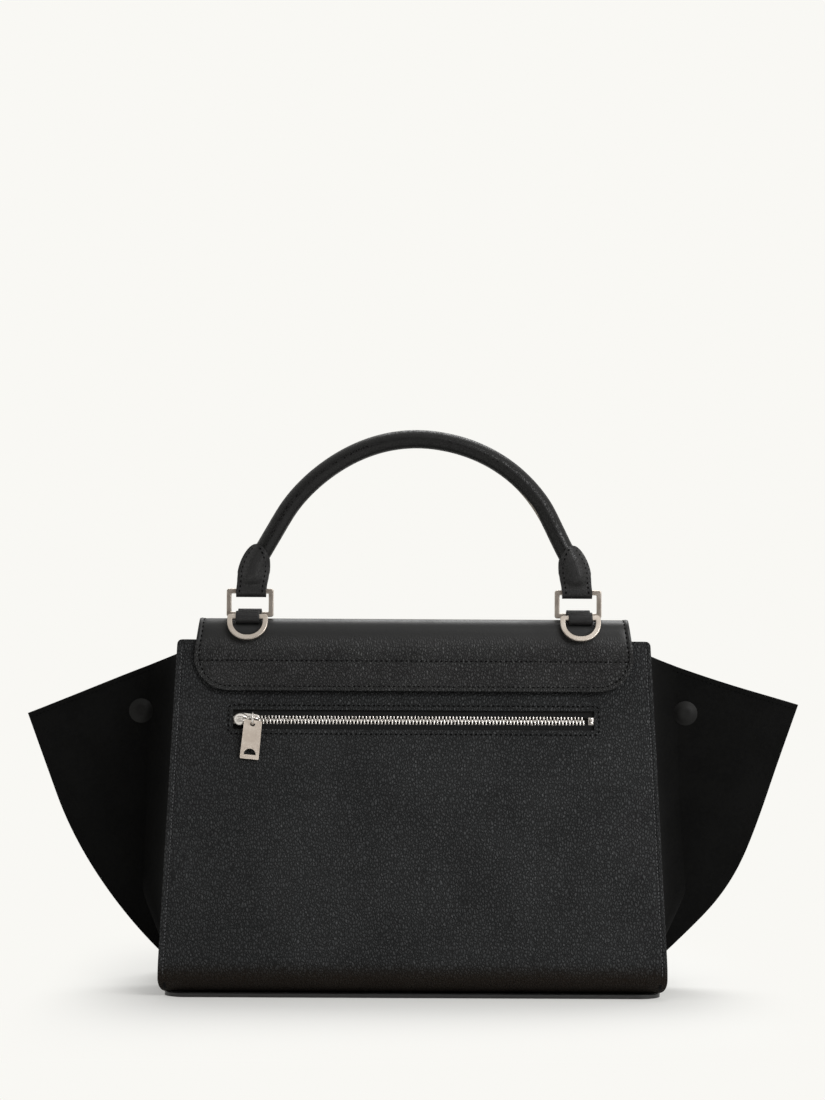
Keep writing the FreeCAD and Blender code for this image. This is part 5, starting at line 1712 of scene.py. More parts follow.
@dataclass
class Wings(Maker):
    """The suede sides: each half runs from its panel's edge into a fin, and the fins meet at the edge."""

    span: float = 476 * MM
    tip_height: float = 170 * MM
    root_top: float = 205 * MM
    root_bottom: float = 12 * MM
    bend_reach_share: float = 0.554
    bend_rise_share: float = 0.285
    droop: float = 4.2 * MM
    belly: float = 4 * MM
    wall_foot: float = 4.7 * MM
    suede: float = 1.3 * MM
    fin_gap: float = 2.75 * MM
    rim_gap: float = -0.02 * MM
    foot_round: float = 18 * MM
    fold_reach: float = 23 * MM
    fold_reach_share: float = 0.55
    fold_out_shares: Pair = (0.02, 0.12)
    fold_deep_shares: Pair = (0.62, 0.1)
    fold_steps: int = 12
    fin_steps: int = 40
    rows: int = 64
    wall_rows: int = 4
    edge_round_share: float = 0.985
    panel_inset: float = 2.6 * MM
    root_gap: float = 0.3 * MM
    root_gap_reach: float = 30 * MM
    rim_fade: float = 26 * MM
    wave: float = 0.5 * MM
    wave_lengths: Pair = (13 * MM, 19 * MM)
    wave_shift: float = 1.7
    wave_rim: Pair = (4 * MM, 30 * MM)
    wave_root: Pair = (38 * MM, 60 * MM)
    droop_ends: Pair = (4 * MM, 20 * MM)
    droop_rise: Pair = (20 * MM, 120 * MM)
    stand_power: float = 1.8
    belly_height: float = 62 * MM
    belly_reach: float = 34 * MM
    belly_root: float = 40 * MM
    suede_edge: float = 0.3 * MM
    seam_inset: float = 3.2 * MM
    thread_lift: float = 0.1 * MM
    flex_start: float = 145.5 * MM
    flex_end: float = 159 * MM

    def build(self) -> None:
        """Builds both wings."""
        for side in Side:
            for half in Half:
                self._build_half(side, half)

    def _edge(self) -> Route:
        """The wing's edge from the root's foot to the tip."""
        root = Vector((self.form.wall(self.root_bottom), self.root_bottom))
        tip = Vector((self.span / 2, self.tip_height))
        bend = Vector((blend_values(root.x, tip.x, self.bend_reach_share),
                       blend_values(root.y, tip.y, self.bend_rise_share)))
        turn = (bend - root).angle(tip - bend)
        radius = self.edge_round_share * (bend - root).length / math.tan(turn / 2)
        return Route([root, (*bend, radius), tip])

    def _line(self, share: float, half: Half, edge: Route) -> list[Vector]:
        """A row of the sheet, from the panel's edge to the wing's edge.

        Args:
            share: How far up the wing the row lies; below 0 it is under the wing, on the plain side wall.
            half: The rear or the front half.
            edge: The wing's edge.

        Returns:
            The row's points on the right wing.
        """
        form = self.form
        height = blend_values(self.root_bottom, self.root_top, max(share, 0.0))
        if share < 0:
            height = blend_values(self.root_bottom, self.wall_foot, -share)
        root = Vector((form.wall(height), height))
        rim = edge.at(edge.length * max(share, 0.0))[0] if share > 0 else root
        reach = (rim - root).length
        short = max(self.foot_round - (height - form.foot), 0.0)
        panel = form.half_depth(height) - self.panel_inset - self.foot_round
        panel += math.sqrt(self.foot_round ** 2 - short ** 2)
        spread = ease(reach, 0.0, self.root_gap_reach) if share > 0 else 0.0
        gap = blend_values(self.root_gap, self.fin_gap, spread)
        fold = min(self.fold_reach, self.fold_reach_share * reach)
        direction = (rim - root).normalized() if reach > 1e-6 else Vector((1, 0))
        line = []
        (near_out, far_out), (near_deep, far_deep) = self.fold_out_shares, self.fold_deep_shares
        bends = [(0.0, panel), (near_out * fold, panel * near_deep), (far_out * fold, gap + far_deep * panel),
                 (fold, gap)]
        for step in range(self.fold_steps + 1):
            part = step / self.fold_steps
            weights = [(1 - part) ** 3, 3 * part * (1 - part) ** 2, 3 * part ** 2 * (1 - part), part ** 3]
            out, deep = (sum(weight * bend[axis] for weight, bend in zip(weights, bends)) for axis in (0, 1))
            spot = root + direction * out
            line.append(Vector((spot.x, half.value * deep, spot.y)))
        long, tall = self.wave_lengths
        for step in range(1, self.fin_steps + 1):
            out = blend_values(fold, reach, step / self.fin_steps)
            left = reach - out
            spot = root + direction * out
            deep = blend_values(min(self.rim_gap, gap), gap, ease(left, 0.0, self.rim_fade))
            wave = self.wave * math.sin(spot.x / long + self.wave_shift) * math.sin(spot.y / tall)
            deep += wave * ease(left, *self.wave_rim) * ease(out, *self.wave_root)
            line.append(Vector((spot.x, half.value * deep, spot.y)))
        return line

    def _hung(self, point: Vector, side: Side) -> Vector:
        """A point of the right wing put on its side; the left wing hangs lower, and the right one stands up.

        Args:
            point: The point on the plain right wing.
            side: The side that it is put on.

        Returns:
            The point in its place.
        """
        root = self.form.wall(point.z)
        near, past = self.droop_ends
        out = ease(point.x, root + near, self.span / 2 + past)
        fuller = 0.0
        if side is Side.RIGHT:
            out **= self.stand_power
            fuller = self.belly * hump(point.z - self.belly_height, self.belly_reach)
            fuller *= ease(point.x, root, root + self.belly_root)
        lift = side.value * self.droop * out * ease(point.z, *self.droop_rise)
        return Vector((side.value * (point.x + fuller), point.y, point.z + lift))

    def _build_half(self, side: Side, half: Half) -> None:
        """Builds one half of one wing."""
        edge = self._edge()
        shares = [index / self.wall_rows for index in range(-self.wall_rows, 1)]
        shares += [index / self.rows for index in range(1, self.rows + 1)]
        rows = [[self._hung(point, side) for point in self._line(share, half, edge)] for share in shares]
        pattern = [[(point.x, point.z) for point in row] for row in rows]
        piece = grid_piece(f"wing_{side.label}_{half.label}_suede", rows, pattern,
                           Vector((0.3 * side.value, half.value, 0)))
        work = bmesh.new()
        work.from_mesh(piece.data)
        bmesh.ops.dissolve_degenerate(work, dist=1e-6, edges=work.edges)
        work.to_mesh(piece.data)
        work.free()
        thicken(piece, self.suede, self.suede_edge, [self.wardrobe.suede], outside=True)
        nodes = [f"side_wall_{side.label}_{half.label}", f"wing_{side.label}_{half.label}"]
        if half is Half.REAR:
            nodes.append(f"wing_{side.label}_welt")
        assign(piece, None, "suede", *nodes)
        self.flex(piece, side)
        inset = self._line(1 - self.seam_inset / (self.root_top - self.root_bottom), half, edge)
        out = half.value * (self.suede + self.thread_lift)
        line = [self._hung(point, side) + Vector((0, out, 0)) for point in inset[self.fold_steps:-1]]
        self.stitching.add(f"wing_{side.label}", line)
        LOG.info("built the %s half of the %s wing", half.label, side.label)

    def flex(self, piece: Piece, side: Side) -> None:
        """Bakes a piece's placement into its mesh; the piece is not bent."""
        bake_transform(piece)


@dataclass
class Handle:
    """The rolled handle with a sewn tab at each end, round the ring's upper bar."""

    wardrobe: Wardrobe
    stitching: Stitching
    radius: float = 5.65 * MM
    axis: Pair = (-25.57 * MM, 241.585 * MM)
    end_reach: float = 98.5 * MM
    end_height: float = 7.5 * MM
    rise: float = 93.4 * MM
    arch: float = 91 * MM
    slope_share: float = 0.577
    knee: float = 20 * MM
    ring_reach: float = 100 * MM
    bore: float = 2.3 * MM
    tab_half: float = 9.1 * MM
    tab_shoulder: float = 11.5 * MM
    tab_height: float = 28.2 * MM
    tab_lean: float = 3.6 * MM
    apex_lean: float = 2.8 * MM
    seam_turn: float = math.radians(55)
    seam_spread: float = 0.3
    lip: float = 0.45 * MM
    lip_reach: float = 0.26
    groove: float = 0.3 * MM
    groove_turn: float = 0.5
    groove_reach: float = 0.16
    thread_lift: float = 0.3 * MM
    bare_steps: int = 14
    path_step: float = 2.2 * MM
    sides: int = 36
    left_lean_rise: Pair = (0.45, 0.95)
    left_lean_run: Pair = (75 * MM, -75 * MM)
    right_lean_rise: Pair = (0.2, 0.6)
    right_lean_run: Pair = (-20 * MM, 60 * MM)
    right_lean_share: float = 0.85
    tab_wall: float = 1.4 * MM
    tab_edge: float = 0.4 * MM
    tab_start: float = 0.6 * MM
    tab_lip: float = 0.25 * MM
    tab_power: float = 1.65
    tab_rows: int = 30
    tab_columns: int = 14
    bore_rows: int = 14
    path_share: float = 1.05
    tube_play: float = 0.15 * MM
    tube_share: float = 0.78
    tube_start: Pair = (1 * MM, 9 * MM)
    ply_gap: float = 0.12 * MM
    ply_close: Pair = (0.5 * MM, 10 * MM)
    seam_inset: float = 2.2 * MM
    seam_tip_share: float = 0.8
    tab_thread_lift: float = 0.05 * MM

    def _route(self) -> Route:
        """The handle's middle line, over the bar's height."""
        factor = math.sqrt(1 + self.slope_share ** 2) / self.slope_share
        peak = self.rise + self.arch * (factor - 1)
        knee = peak - self.end_reach / self.slope_share
        reach = self.end_reach
        return Route([(-reach, self.end_height), (-reach, knee, self.knee), (0, peak, self.arch),
                      (reach, knee, self.knee), (reach, self.end_height)])

    def build(self) -> None:
        """Builds the roll and its tabs."""
        route = self._route()
        base = Vector((0, self.axis[0], self.axis[1]))
        path = [(base + Vector((spot.x + self._lean(spot), 0, spot.y)), Vector((heading.x, 0, heading.y)))
                for spot, heading in route.sample(self.path_step)]

        def section(share: float, angle: float) -> Pair:
            """The roll's round section with its sewn seam on the inner side, towards the front."""
            turn = math.remainder(angle - self.seam_turn, 2 * math.pi)
            sunk = sum(hump(turn - way * self.groove_turn, self.groove_reach) for way in (1, -1))
            reach = self.radius + (self.lip * hump(turn, self.lip_reach) - self.groove * sunk)
            return math.cos(angle) * reach, math.sin(angle) * reach

        lateral = Vector((0, 1, 0))
        piece = sweep("handle_roll", path, lateral, section, self.sides)
        dress(piece, self.wardrobe.rolled)
        assign(piece, "handle", "smooth_leather", "handle_cover")
        for side in (-1, 1):
            line = []
            angle = self.seam_turn + side * self.seam_spread
            for spot, heading in path[self.bare_steps:-self.bare_steps]:
                normal = lateral.cross(heading).normalized()
                away = normal * math.cos(angle) + lateral * math.sin(angle)
                line.append(spot + away * (self.radius + self.thread_lift))
            self.stitching.add("handle", line)
        LOG.info("built the handle's roll")
        for side in Side:
            self._build_tab(side, route)

    def _lean(self, spot: Vector) -> float:
        """How far the worn arch leans to the right at a place on its middle line."""
        left, right = (ease(spot.y, low * self.rise, high * self.rise) * ease(spot.x, *run)
                       for (low, high), run in ((self.left_lean_rise, self.left_lean_run),
                                                (self.right_lean_rise, self.right_lean_run)))
        return self.apex_lean * max(left, self.right_lean_share * right)

    def _tab_edge(self, height: float) -> float:
        """Half the tab's width at a height over the bar."""
        if height <= self.tab_shoulder:
            return self.tab_half
        share = (height - self.tab_shoulder) / (self.tab_height - self.tab_shoulder)
        return self.tab_half * math.sqrt(max(1 - share ** self.tab_power, 0.0)) + self.tab_lip

    def _tab_middle(self, height: float) -> float:
        """How far the tab's middle leans to the bag's middle at a height over the bar."""
        return self.tab_start + self.tab_lean * min(max(height / self.tab_height, 0.0), 1.0)

    def _tab_depth(self, inner: float, height: float, route: Route) -> float:
        """Distance of a ply's inner face from the handle's plane.

        Args:
            inner: Distance from the ring's middle to the bag's middle.
            height: Height over the bar.
            route: The handle's middle line.

        Returns:
            The distance.
        """
        spot, heading = route.at(max(height - self.end_height, 0.0) * self.path_share)
        offset = (inner - (self.ring_reach + spot.x)) * abs(heading.y)
        tube = (self.radius + self.tube_play) / math.sqrt(1 + (offset / (self.tube_share * self.radius)) ** 4)
        tube *= ease(height, *self.tube_start)
        base = blend_values(self.bore, self.ply_gap, ease(height, *self.ply_close))
        return (tube ** 3 + base ** 3) ** (1 / 3)

    def _tab_point(self, side: Side, inner: float, deep: float, level: float) -> Vector:
        """A tab's point, by its distances from the ring's middle, the handle's plane and the bar."""
        return Vector((side.value * (self.ring_reach - inner), self.axis[0] + deep, self.axis[1] + level))

    def _build_tab(self, side: Side, route: Route) -> None:
        """Builds one tab: a strap from the front tip down, round the bar and up to the rear tip."""
        heights = [self.tab_height * (1 - (1 - index / self.tab_rows) ** 2)
                   for index in range(self.tab_rows, -1, -1)]
        stations = [(height, 1.0, height) for height in heights]
        stations += [(0.0, math.cos(turn), -self.bore * math.sin(turn)) for turn in
                     (math.pi * index / self.bore_rows for index in range(1, self.bore_rows))]
        stations += [(height, -1.0, height) for height in reversed(heights)]
        columns = [-1 + index / self.tab_columns for index in range(2 * self.tab_columns + 1)]
        rows, pattern = [], []
        for index, (height, depth_share, level) in enumerate(stations):
            half = self._tab_edge(height)
            row, marks = [], []
            for column in columns:
                inner = self._tab_middle(height) + column * half
                deep = self._tab_depth(inner, height, route) if height > 0 else self.bore
                row.append(self._tab_point(side, inner, depth_share * deep, level))
                marks.append((inner, index * MM))
            rows.append(row)
            pattern.append(marks)
        piece = grid_piece(f"handle_tab_{side.label}_strap", rows, pattern, Vector((0, 0, -1)))
        finishes = [self.wardrobe.fine, self.wardrobe.smooth, self.wardrobe.edge]
        thicken(piece, self.tab_wall, self.tab_edge, finishes, outside=True)
        assign(piece, "handle", "smooth_leather", f"handle_tab_{side.label}")
        for half in Half:
            line = []
            trail = [(height, 1) for height in reversed(heights)] + [(height, -1) for height in heights]
            for height, hand in trail:
                edge = self._tab_edge(height) - self.seam_inset
                if height > self.tab_height - self.seam_inset * self.seam_tip_share or edge < 0:
                    continue
                inner = self._tab_middle(height) + hand * edge
                deep = self._tab_depth(inner, height, route) + self.tab_wall + self.tab_thread_lift
                line.append(self._tab_point(side, inner, half.value * deep, height))
            self.stitching.add("handle", line)
        LOG.info("built the %s tab", side.label)


@dataclass
class Zip:
    """The zip of the back pocket: tapes, two rows of teeth, stops, slider, link and puller."""

    form: Form
    wardrobe: Wardrobe
    height: float = ZIP_HEIGHT
    depth: float = 2.4 * MM
    pitch: float = 2.08 * MM
    reach: float = 2.3 * MM
    bite: float = 0.7 * MM
    tooth_width: float = 0.98 * MM
    tooth_depth: float = 2.2 * MM
    tooth_leg: float = 0.25 * MM
    tooth_edge: float = 0.2 * MM
    nose_shares: Pair = (0.72, 0.8)
    tape_wall: float = 0.6 * MM
    tape_width: float = 11 * MM
    tape_under: float = 0.4 * MM
    tape_edge: float = 0.15 * MM
    tape_grid: Pair = (4 * MM, 1 * MM)
    cord: float = 0.5 * MM
    cord_place: float = 0.3 * MM
    cord_reach: float = 0.7 * MM
    stop_back: float = -1.3 * MM
    stop_front: float = 0.9 * MM
    stop_ridge: Pair = (0.7 * MM, 1.45 * MM)
    stop_height_share: float = 0.97
    stop_ridge_shares: Triple = (0.55, 0.22, 0.92)
    stop_edge: float = 0.28 * MM
    slider_wall: float = 1.3 * MM
    slider_play: float = 0.35 * MM
    slider_edges: Pair = (0.45 * MM, 0.35 * MM)
    slider_back_share: float = 0.8
    slider_tail_share: float = 0.72
    slider_waist_share: float = 0.6
    slider_round_shares: Pair = (0.95, 0.5)
    rail_shares: Pair = (0.75, 0.72)
    rail_edge: float = 0.2 * MM
    bridge_section: Pair = (0.6 * MM, 0.85 * MM)
    bridge_step: float = 0.4 * MM
    bridge_sides: int = 14
    crown_sunk: float = 0.15 * MM
    crown_place: float = 4.7 * MM
    crown_under: float = 0.5 * MM
    crown_groove: float = 0.9 * MM
    crown_groove_reach: float = 0.6 * MM
    crown_groove_fade: float = 0.4
    crown_shares: Pair = (0.9, 0.12)
    crown_sides: int = 48
    crown_rings: int = 24
    slider_middle: float = -98 * MM
    slider_size: Pair = (14 * MM, 8.8 * MM)
    slider_head: float = 3.6 * MM
    bridge_ends: Pair = (-2.2 * MM, 4.4 * MM)
    bridge_rise: float = 2.6 * MM
    bridge_round: float = 1.6 * MM
    crown: Pair = (4.5 * MM, 2.0 * MM)
    puller_size: Pair = (11.4 * MM, 23.4 * MM)
    puller_wall: float = 1.3 * MM
    puller_turn: float = math.radians(5.5)
    pivot: Triple = (-96.656, -48.7732, 161.2132)
    moon: float = 3.7 * MM
    moon_setback: float = 2.6 * MM
    moon_sides: int = 20
    eye: float = 1.5 * MM
    eye_share: float = 0.9
    eye_sides: int = 24
    puller_head: float = 0.9 * MM
    puller_head_share: float = 0.94
    puller_rounds: Pair = (0.9 * MM, 0.6 * MM)
    puller_step: float = 0.3 * MM
    puller_edge: float = 0.3 * MM

    def build(self) -> None:
        """Builds the zip's pieces."""
        self.face = self.form.face(Half.REAR, self.height)
        self._build_tapes()
        self._build_teeth()
        self._build_stops()
        self._build_slider()
        self._build_puller()

    def _build_tapes(self) -> None:
        """The two woven tapes with a corded edge under the teeth."""
        for label, sign in (("upper", 1), ("lower", -1)):
            low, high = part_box(f"zip_tape_{label}")
            rows, pattern = [], []
            start = self.reach - self.tape_under
            ups = graded(start, start + self.tape_width, self.tape_grid[1], [self.reach + self.cord_place])
            columns = graded(low.x, high.x, self.tape_grid[0])
            for up in ups:
                cord = self.cord * hump(up - self.reach - self.cord_place, self.cord_reach)
                out = -self.depth + self.tape_wall / 2 + cord
                rows.append([self.face @ Vector((column, sign * up, out)) for column in columns])
                pattern.append([(column, up) for column in columns])
            outward = self.face.to_3x3() @ Vector((0, 0, 1))
            piece = grid_piece(f"zip_tape_{label}_cloth", rows, pattern, outward)
            thicken(piece, self.tape_wall, self.tape_edge, [self.wardrobe.tape])
            assign(piece, "bag", "zip_tape", f"zip_tape_{label}")

    def _build_teeth(self) -> None:
        """Both rows of teeth, each tooth with a rounded nose and legs that grip the tape."""
        tree = tooth_tree()
        for label, sign in (("upper", 1), ("lower", -1)):
            low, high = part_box(f"zip_teeth_{label}")
            half = self.tooth_width / 2

            def pinch(spot: Vector) -> Vector:
                """Narrows the nose of a tooth."""
                across, out = self.nose_shares if spot.y * sign < 0 else (1.0, 1.0)
                return Vector((spot.x * across, spot.y, spot.z * out))

            ends = sorted((sign * -self.bite, sign * (self.reach + self.tooth_leg)))
            turn = self.face.to_3x3().to_4x4()
            tooth = block("tooth_" + label, Vector((-half, ends[0], -self.tooth_depth / 2)),
                          Vector((half, ends[1], self.tooth_depth / 2)), self.tooth_edge, turn, pinch)
            start, end = low.x + half, high.x - half
            line = [self.face @ Vector((across, 0, -self.depth)) for across in (start, end)]
            mesh = bpy.data.meshes.new("zip_row_" + label)
            mesh.from_pydata([tuple(point) for point in line], [(0, 1)], [])
            piece = placed("zip_row_" + label, mesh)
            lay_tree(piece, tree, Pitch=self.pitch, Tooth=tooth, Finish=self.wardrobe.zip_metal)
            freeze(piece)
            bpy.data.objects.remove(tooth)
            piece.data.set_sharp_from_angle(angle=METAL_CREASE)
            assign(piece, "bag", "zip_metal", f"zip_teeth_{label}")
        LOG.info("built the zip's teeth")

    def _build_stops(self) -> None:
        """The end stops: a folded clip with a ridge on each side."""
        inverse = self.face.inverted()
        for side in Side:
            node = f"zip_stop_{side.label}"
            low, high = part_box(node)
            half, tall = (high.x - low.x) / 2, (high.z - low.z) / 2 * self.stop_height_share
            wide, inner, rim = self.stop_ridge_shares
            ridge, inner, rim = half * wide, tall * inner, tall * rim
            base, crest = self.stop_ridge
            shapes = [((-half, -tall, self.stop_back), (half, tall, self.stop_front)),
                      ((-ridge, -rim, base), (ridge, -inner, crest)),
                      ((-ridge, inner, base), (ridge, rim, crest))]
            place = self.face @ Matrix.Translation(inverse @ ((low + high) / 2))
            parts = [block(f"{node}_{index}", Vector(first), Vector(second), self.stop_edge, place)
                     for index, (first, second) in enumerate(shapes)]
            piece = joined(f"{node}_clip", parts)
            dress(piece, self.wardrobe.zip_metal)
            assign(piece, "bag", "zip_metal", node)

    def _build_slider(self) -> None:
        """The slider: a domed pear-shaped crown over the teeth, its lower plate, and a bridge."""
        long, wide = self.slider_size[0] / 2, self.slider_size[1] / 2
        head, tail = -long - self.slider_head, self.slider_tail_share * long
        waist = wide * self.slider_waist_share
        bow, stern = (share * wide for share in self.slider_round_shares)
        outline = closed_outline([(head, 0), (head, -wide, bow), (tail, -waist, stern), (tail, waist, stern),
                                  (head, wide, bow)])
        wall, under = self.slider_wall, self.slider_wall * self.slider_back_share
        front = -self.depth + self.tooth_depth / 2 + self.slider_play
        back = -self.depth - self.tooth_depth / 2 - self.slider_play
        place = self.face @ Matrix.Translation((self.slider_middle, 0, 0))
        plates = [("slider_front", wall, self.slider_edges[0], front + wall / 2),
                  ("slider_back", under, self.slider_edges[1], back - under / 2)]
        parts = [cut_plate(name, [outline], thick, edge, place @ Matrix.Translation((0, 0, out)))
                 for name, thick, edge, out in plates]
        parts.append(self._dome(place, front + wall - self.crown_sunk))
        rail, outer = long * self.rail_shares[0], wide * self.rail_shares[1]
        for near, far in ((-outer, -waist), (waist, outer)):
            parts.append(block("slider_rail", Vector((-rail, near, back)), Vector((0, far, front)),
                               self.rail_edge, place))
        start, end = self.bridge_ends
        sunk, crest = front + wall / 2, front + wall + self.bridge_rise
        turn = self.bridge_round
        bar = Route([(start, sunk), (start, crest, turn), (end, crest, turn), (end, sunk)])
        across, lateral, out = place.to_3x3().col
        path = [(place @ Vector((spot.x, 0, spot.y)), across * heading.x + out * heading.y)
                for spot, heading in bar.sample(self.bridge_step)]
        thick, broad = self.bridge_section

        def section(share: float, angle: float) -> Pair:
            """The bridge's oval section."""
            return thick * math.cos(angle), broad * math.sin(angle)

        parts.append(sweep("slider_bridge", path, lateral, section, self.bridge_sides))
        piece = joined("zip_slider_body", parts)
        dress(piece, self.wardrobe.zip_metal)
        assign(piece, "zip_slider", "zip_metal", "zip_slider")
        LOG.info("built the slider")

    def _dome(self, place: Matrix, out: float) -> Piece:
        """The slider's rounded crown."""
        work = bmesh.new()
        bmesh.ops.create_uvsphere(work, u_segments=self.crown_sides, v_segments=self.crown_rings, radius=1.0)
        broad, taper = self.crown_shares
        middle = self.crown_place - self.slider_size[0] / 2 - self.slider_head
        for vert in work.verts:
            across, up, lift = vert.co
            wide = up * self.slider_size[1] / 2 * (broad - taper * across)
            tall = self.crown[1] if lift > 0 else self.crown_under
            spot = Vector((middle + across * self.crown[0], wide, out + lift * tall))
            if lift > 0:
                groove = self.crown_groove * hump(spot.y, self.crown_groove_reach)
                spot.z -= groove * ease(1 - across, 0.0, self.crown_groove_fade) * lift
            vert.co = spot
        bmesh.ops.transform(work, matrix=place, verts=work.verts)
        return finished("slider_dome", work)

    def _build_puller(self) -> None:
        """The flat puller with its eye and half-round hole; its face is bare."""
        wide, tall = self.puller_size[0] / 2, self.puller_size[1]
        head = self.eye + self.puller_head
        foot, narrow = head - tall, wide * self.puller_head_share
        top, bottom = self.puller_rounds
        corners = [(0, head), (-narrow, head, top), (-wide, foot, bottom), (wide, foot, bottom),
                   (narrow, head, top)]
        outline = closed_outline(corners, self.puller_step)
        ring = [(self.eye * math.cos(turn), self.eye * math.sin(turn) * self.eye_share)
                for turn in (2 * math.pi * index / self.eye_sides for index in range(self.eye_sides))]
        base = foot + self.moon_setback
        moon = [(self.moon * math.cos(turn), base + self.moon * math.sin(turn))
                for turn in (math.pi * index / self.moon_sides for index in range(self.moon_sides + 1))]
        turn = Matrix.Rotation(self.puller_turn, 4, "Y") @ Matrix.Rotation(math.radians(90), 4, "X")
        place = Matrix.Translation(Vector(self.pivot) * MM) @ turn
        piece = cut_plate("puller_blade", [outline, ring, moon], self.puller_wall, self.puller_edge, place)
        dress(piece, self.wardrobe.brushed)
        assign(piece, "puller_plate", "pale_metal", "puller_plate")
        LOG.info("built the puller")


@dataclass
class Metalwork:
    """Rings, studs, the lock and the hidden core: solids that keep their shape and get their finish."""

    wardrobe: Wardrobe

    def build(self) -> None:
        """Dresses the solids that stay."""
        finishes = {
            self.wardrobe.pale: [f"{ring}_ring_{side.label}" for ring in ("handle", "strap") for side in Side]
            + [f"lock_{part}" for part in ("base", "plate", "backing", "washer", "screws", "knob")],
            self.wardrobe.zip_metal: ["puller_link"],
            self.wardrobe.snap: [f"snap_{side.label}_{part}" for side in Side
                                 for part in ("cap", "socket", "stud", "back_disc")],
            self.wardrobe.board: ["base_board"],
            self.wardrobe.rope: ["handle_core"],
        }
        for finish, nodes in finishes.items():
            for node in nodes:
                self._dress(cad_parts[node], finish)
        LOG.info("dressed the metalwork")

    @staticmethod
    def _dress(piece: Piece, finish: Material) -> None:
        """Puts a finish in a solid's material slots."""
        if not piece.material_slots:
            piece.data.materials.append(finish)
        for slot in piece.material_slots:
            slot.material = finish


@dataclass(frozen=True)
class Lamp:
    """A square soft light: where it hangs, what it points at, its side, and its power in watts."""

    name: str
    place: Triple
    target: Triple
    size: float
    power: float

    def build(self) -> None:
        """Hangs the lamp."""
        lamp = bpy.data.lights.new(self.name, "AREA")
        lamp.shape = "SQUARE"
        lamp.size = self.size
        lamp.energy = self.power
        holder = placed(self.name, lamp)
        holder.location = self.place
        aim = Vector(self.target) - Vector(self.place)
        holder.rotation_euler = aim.to_track_quat("-Z", "Y").to_euler()


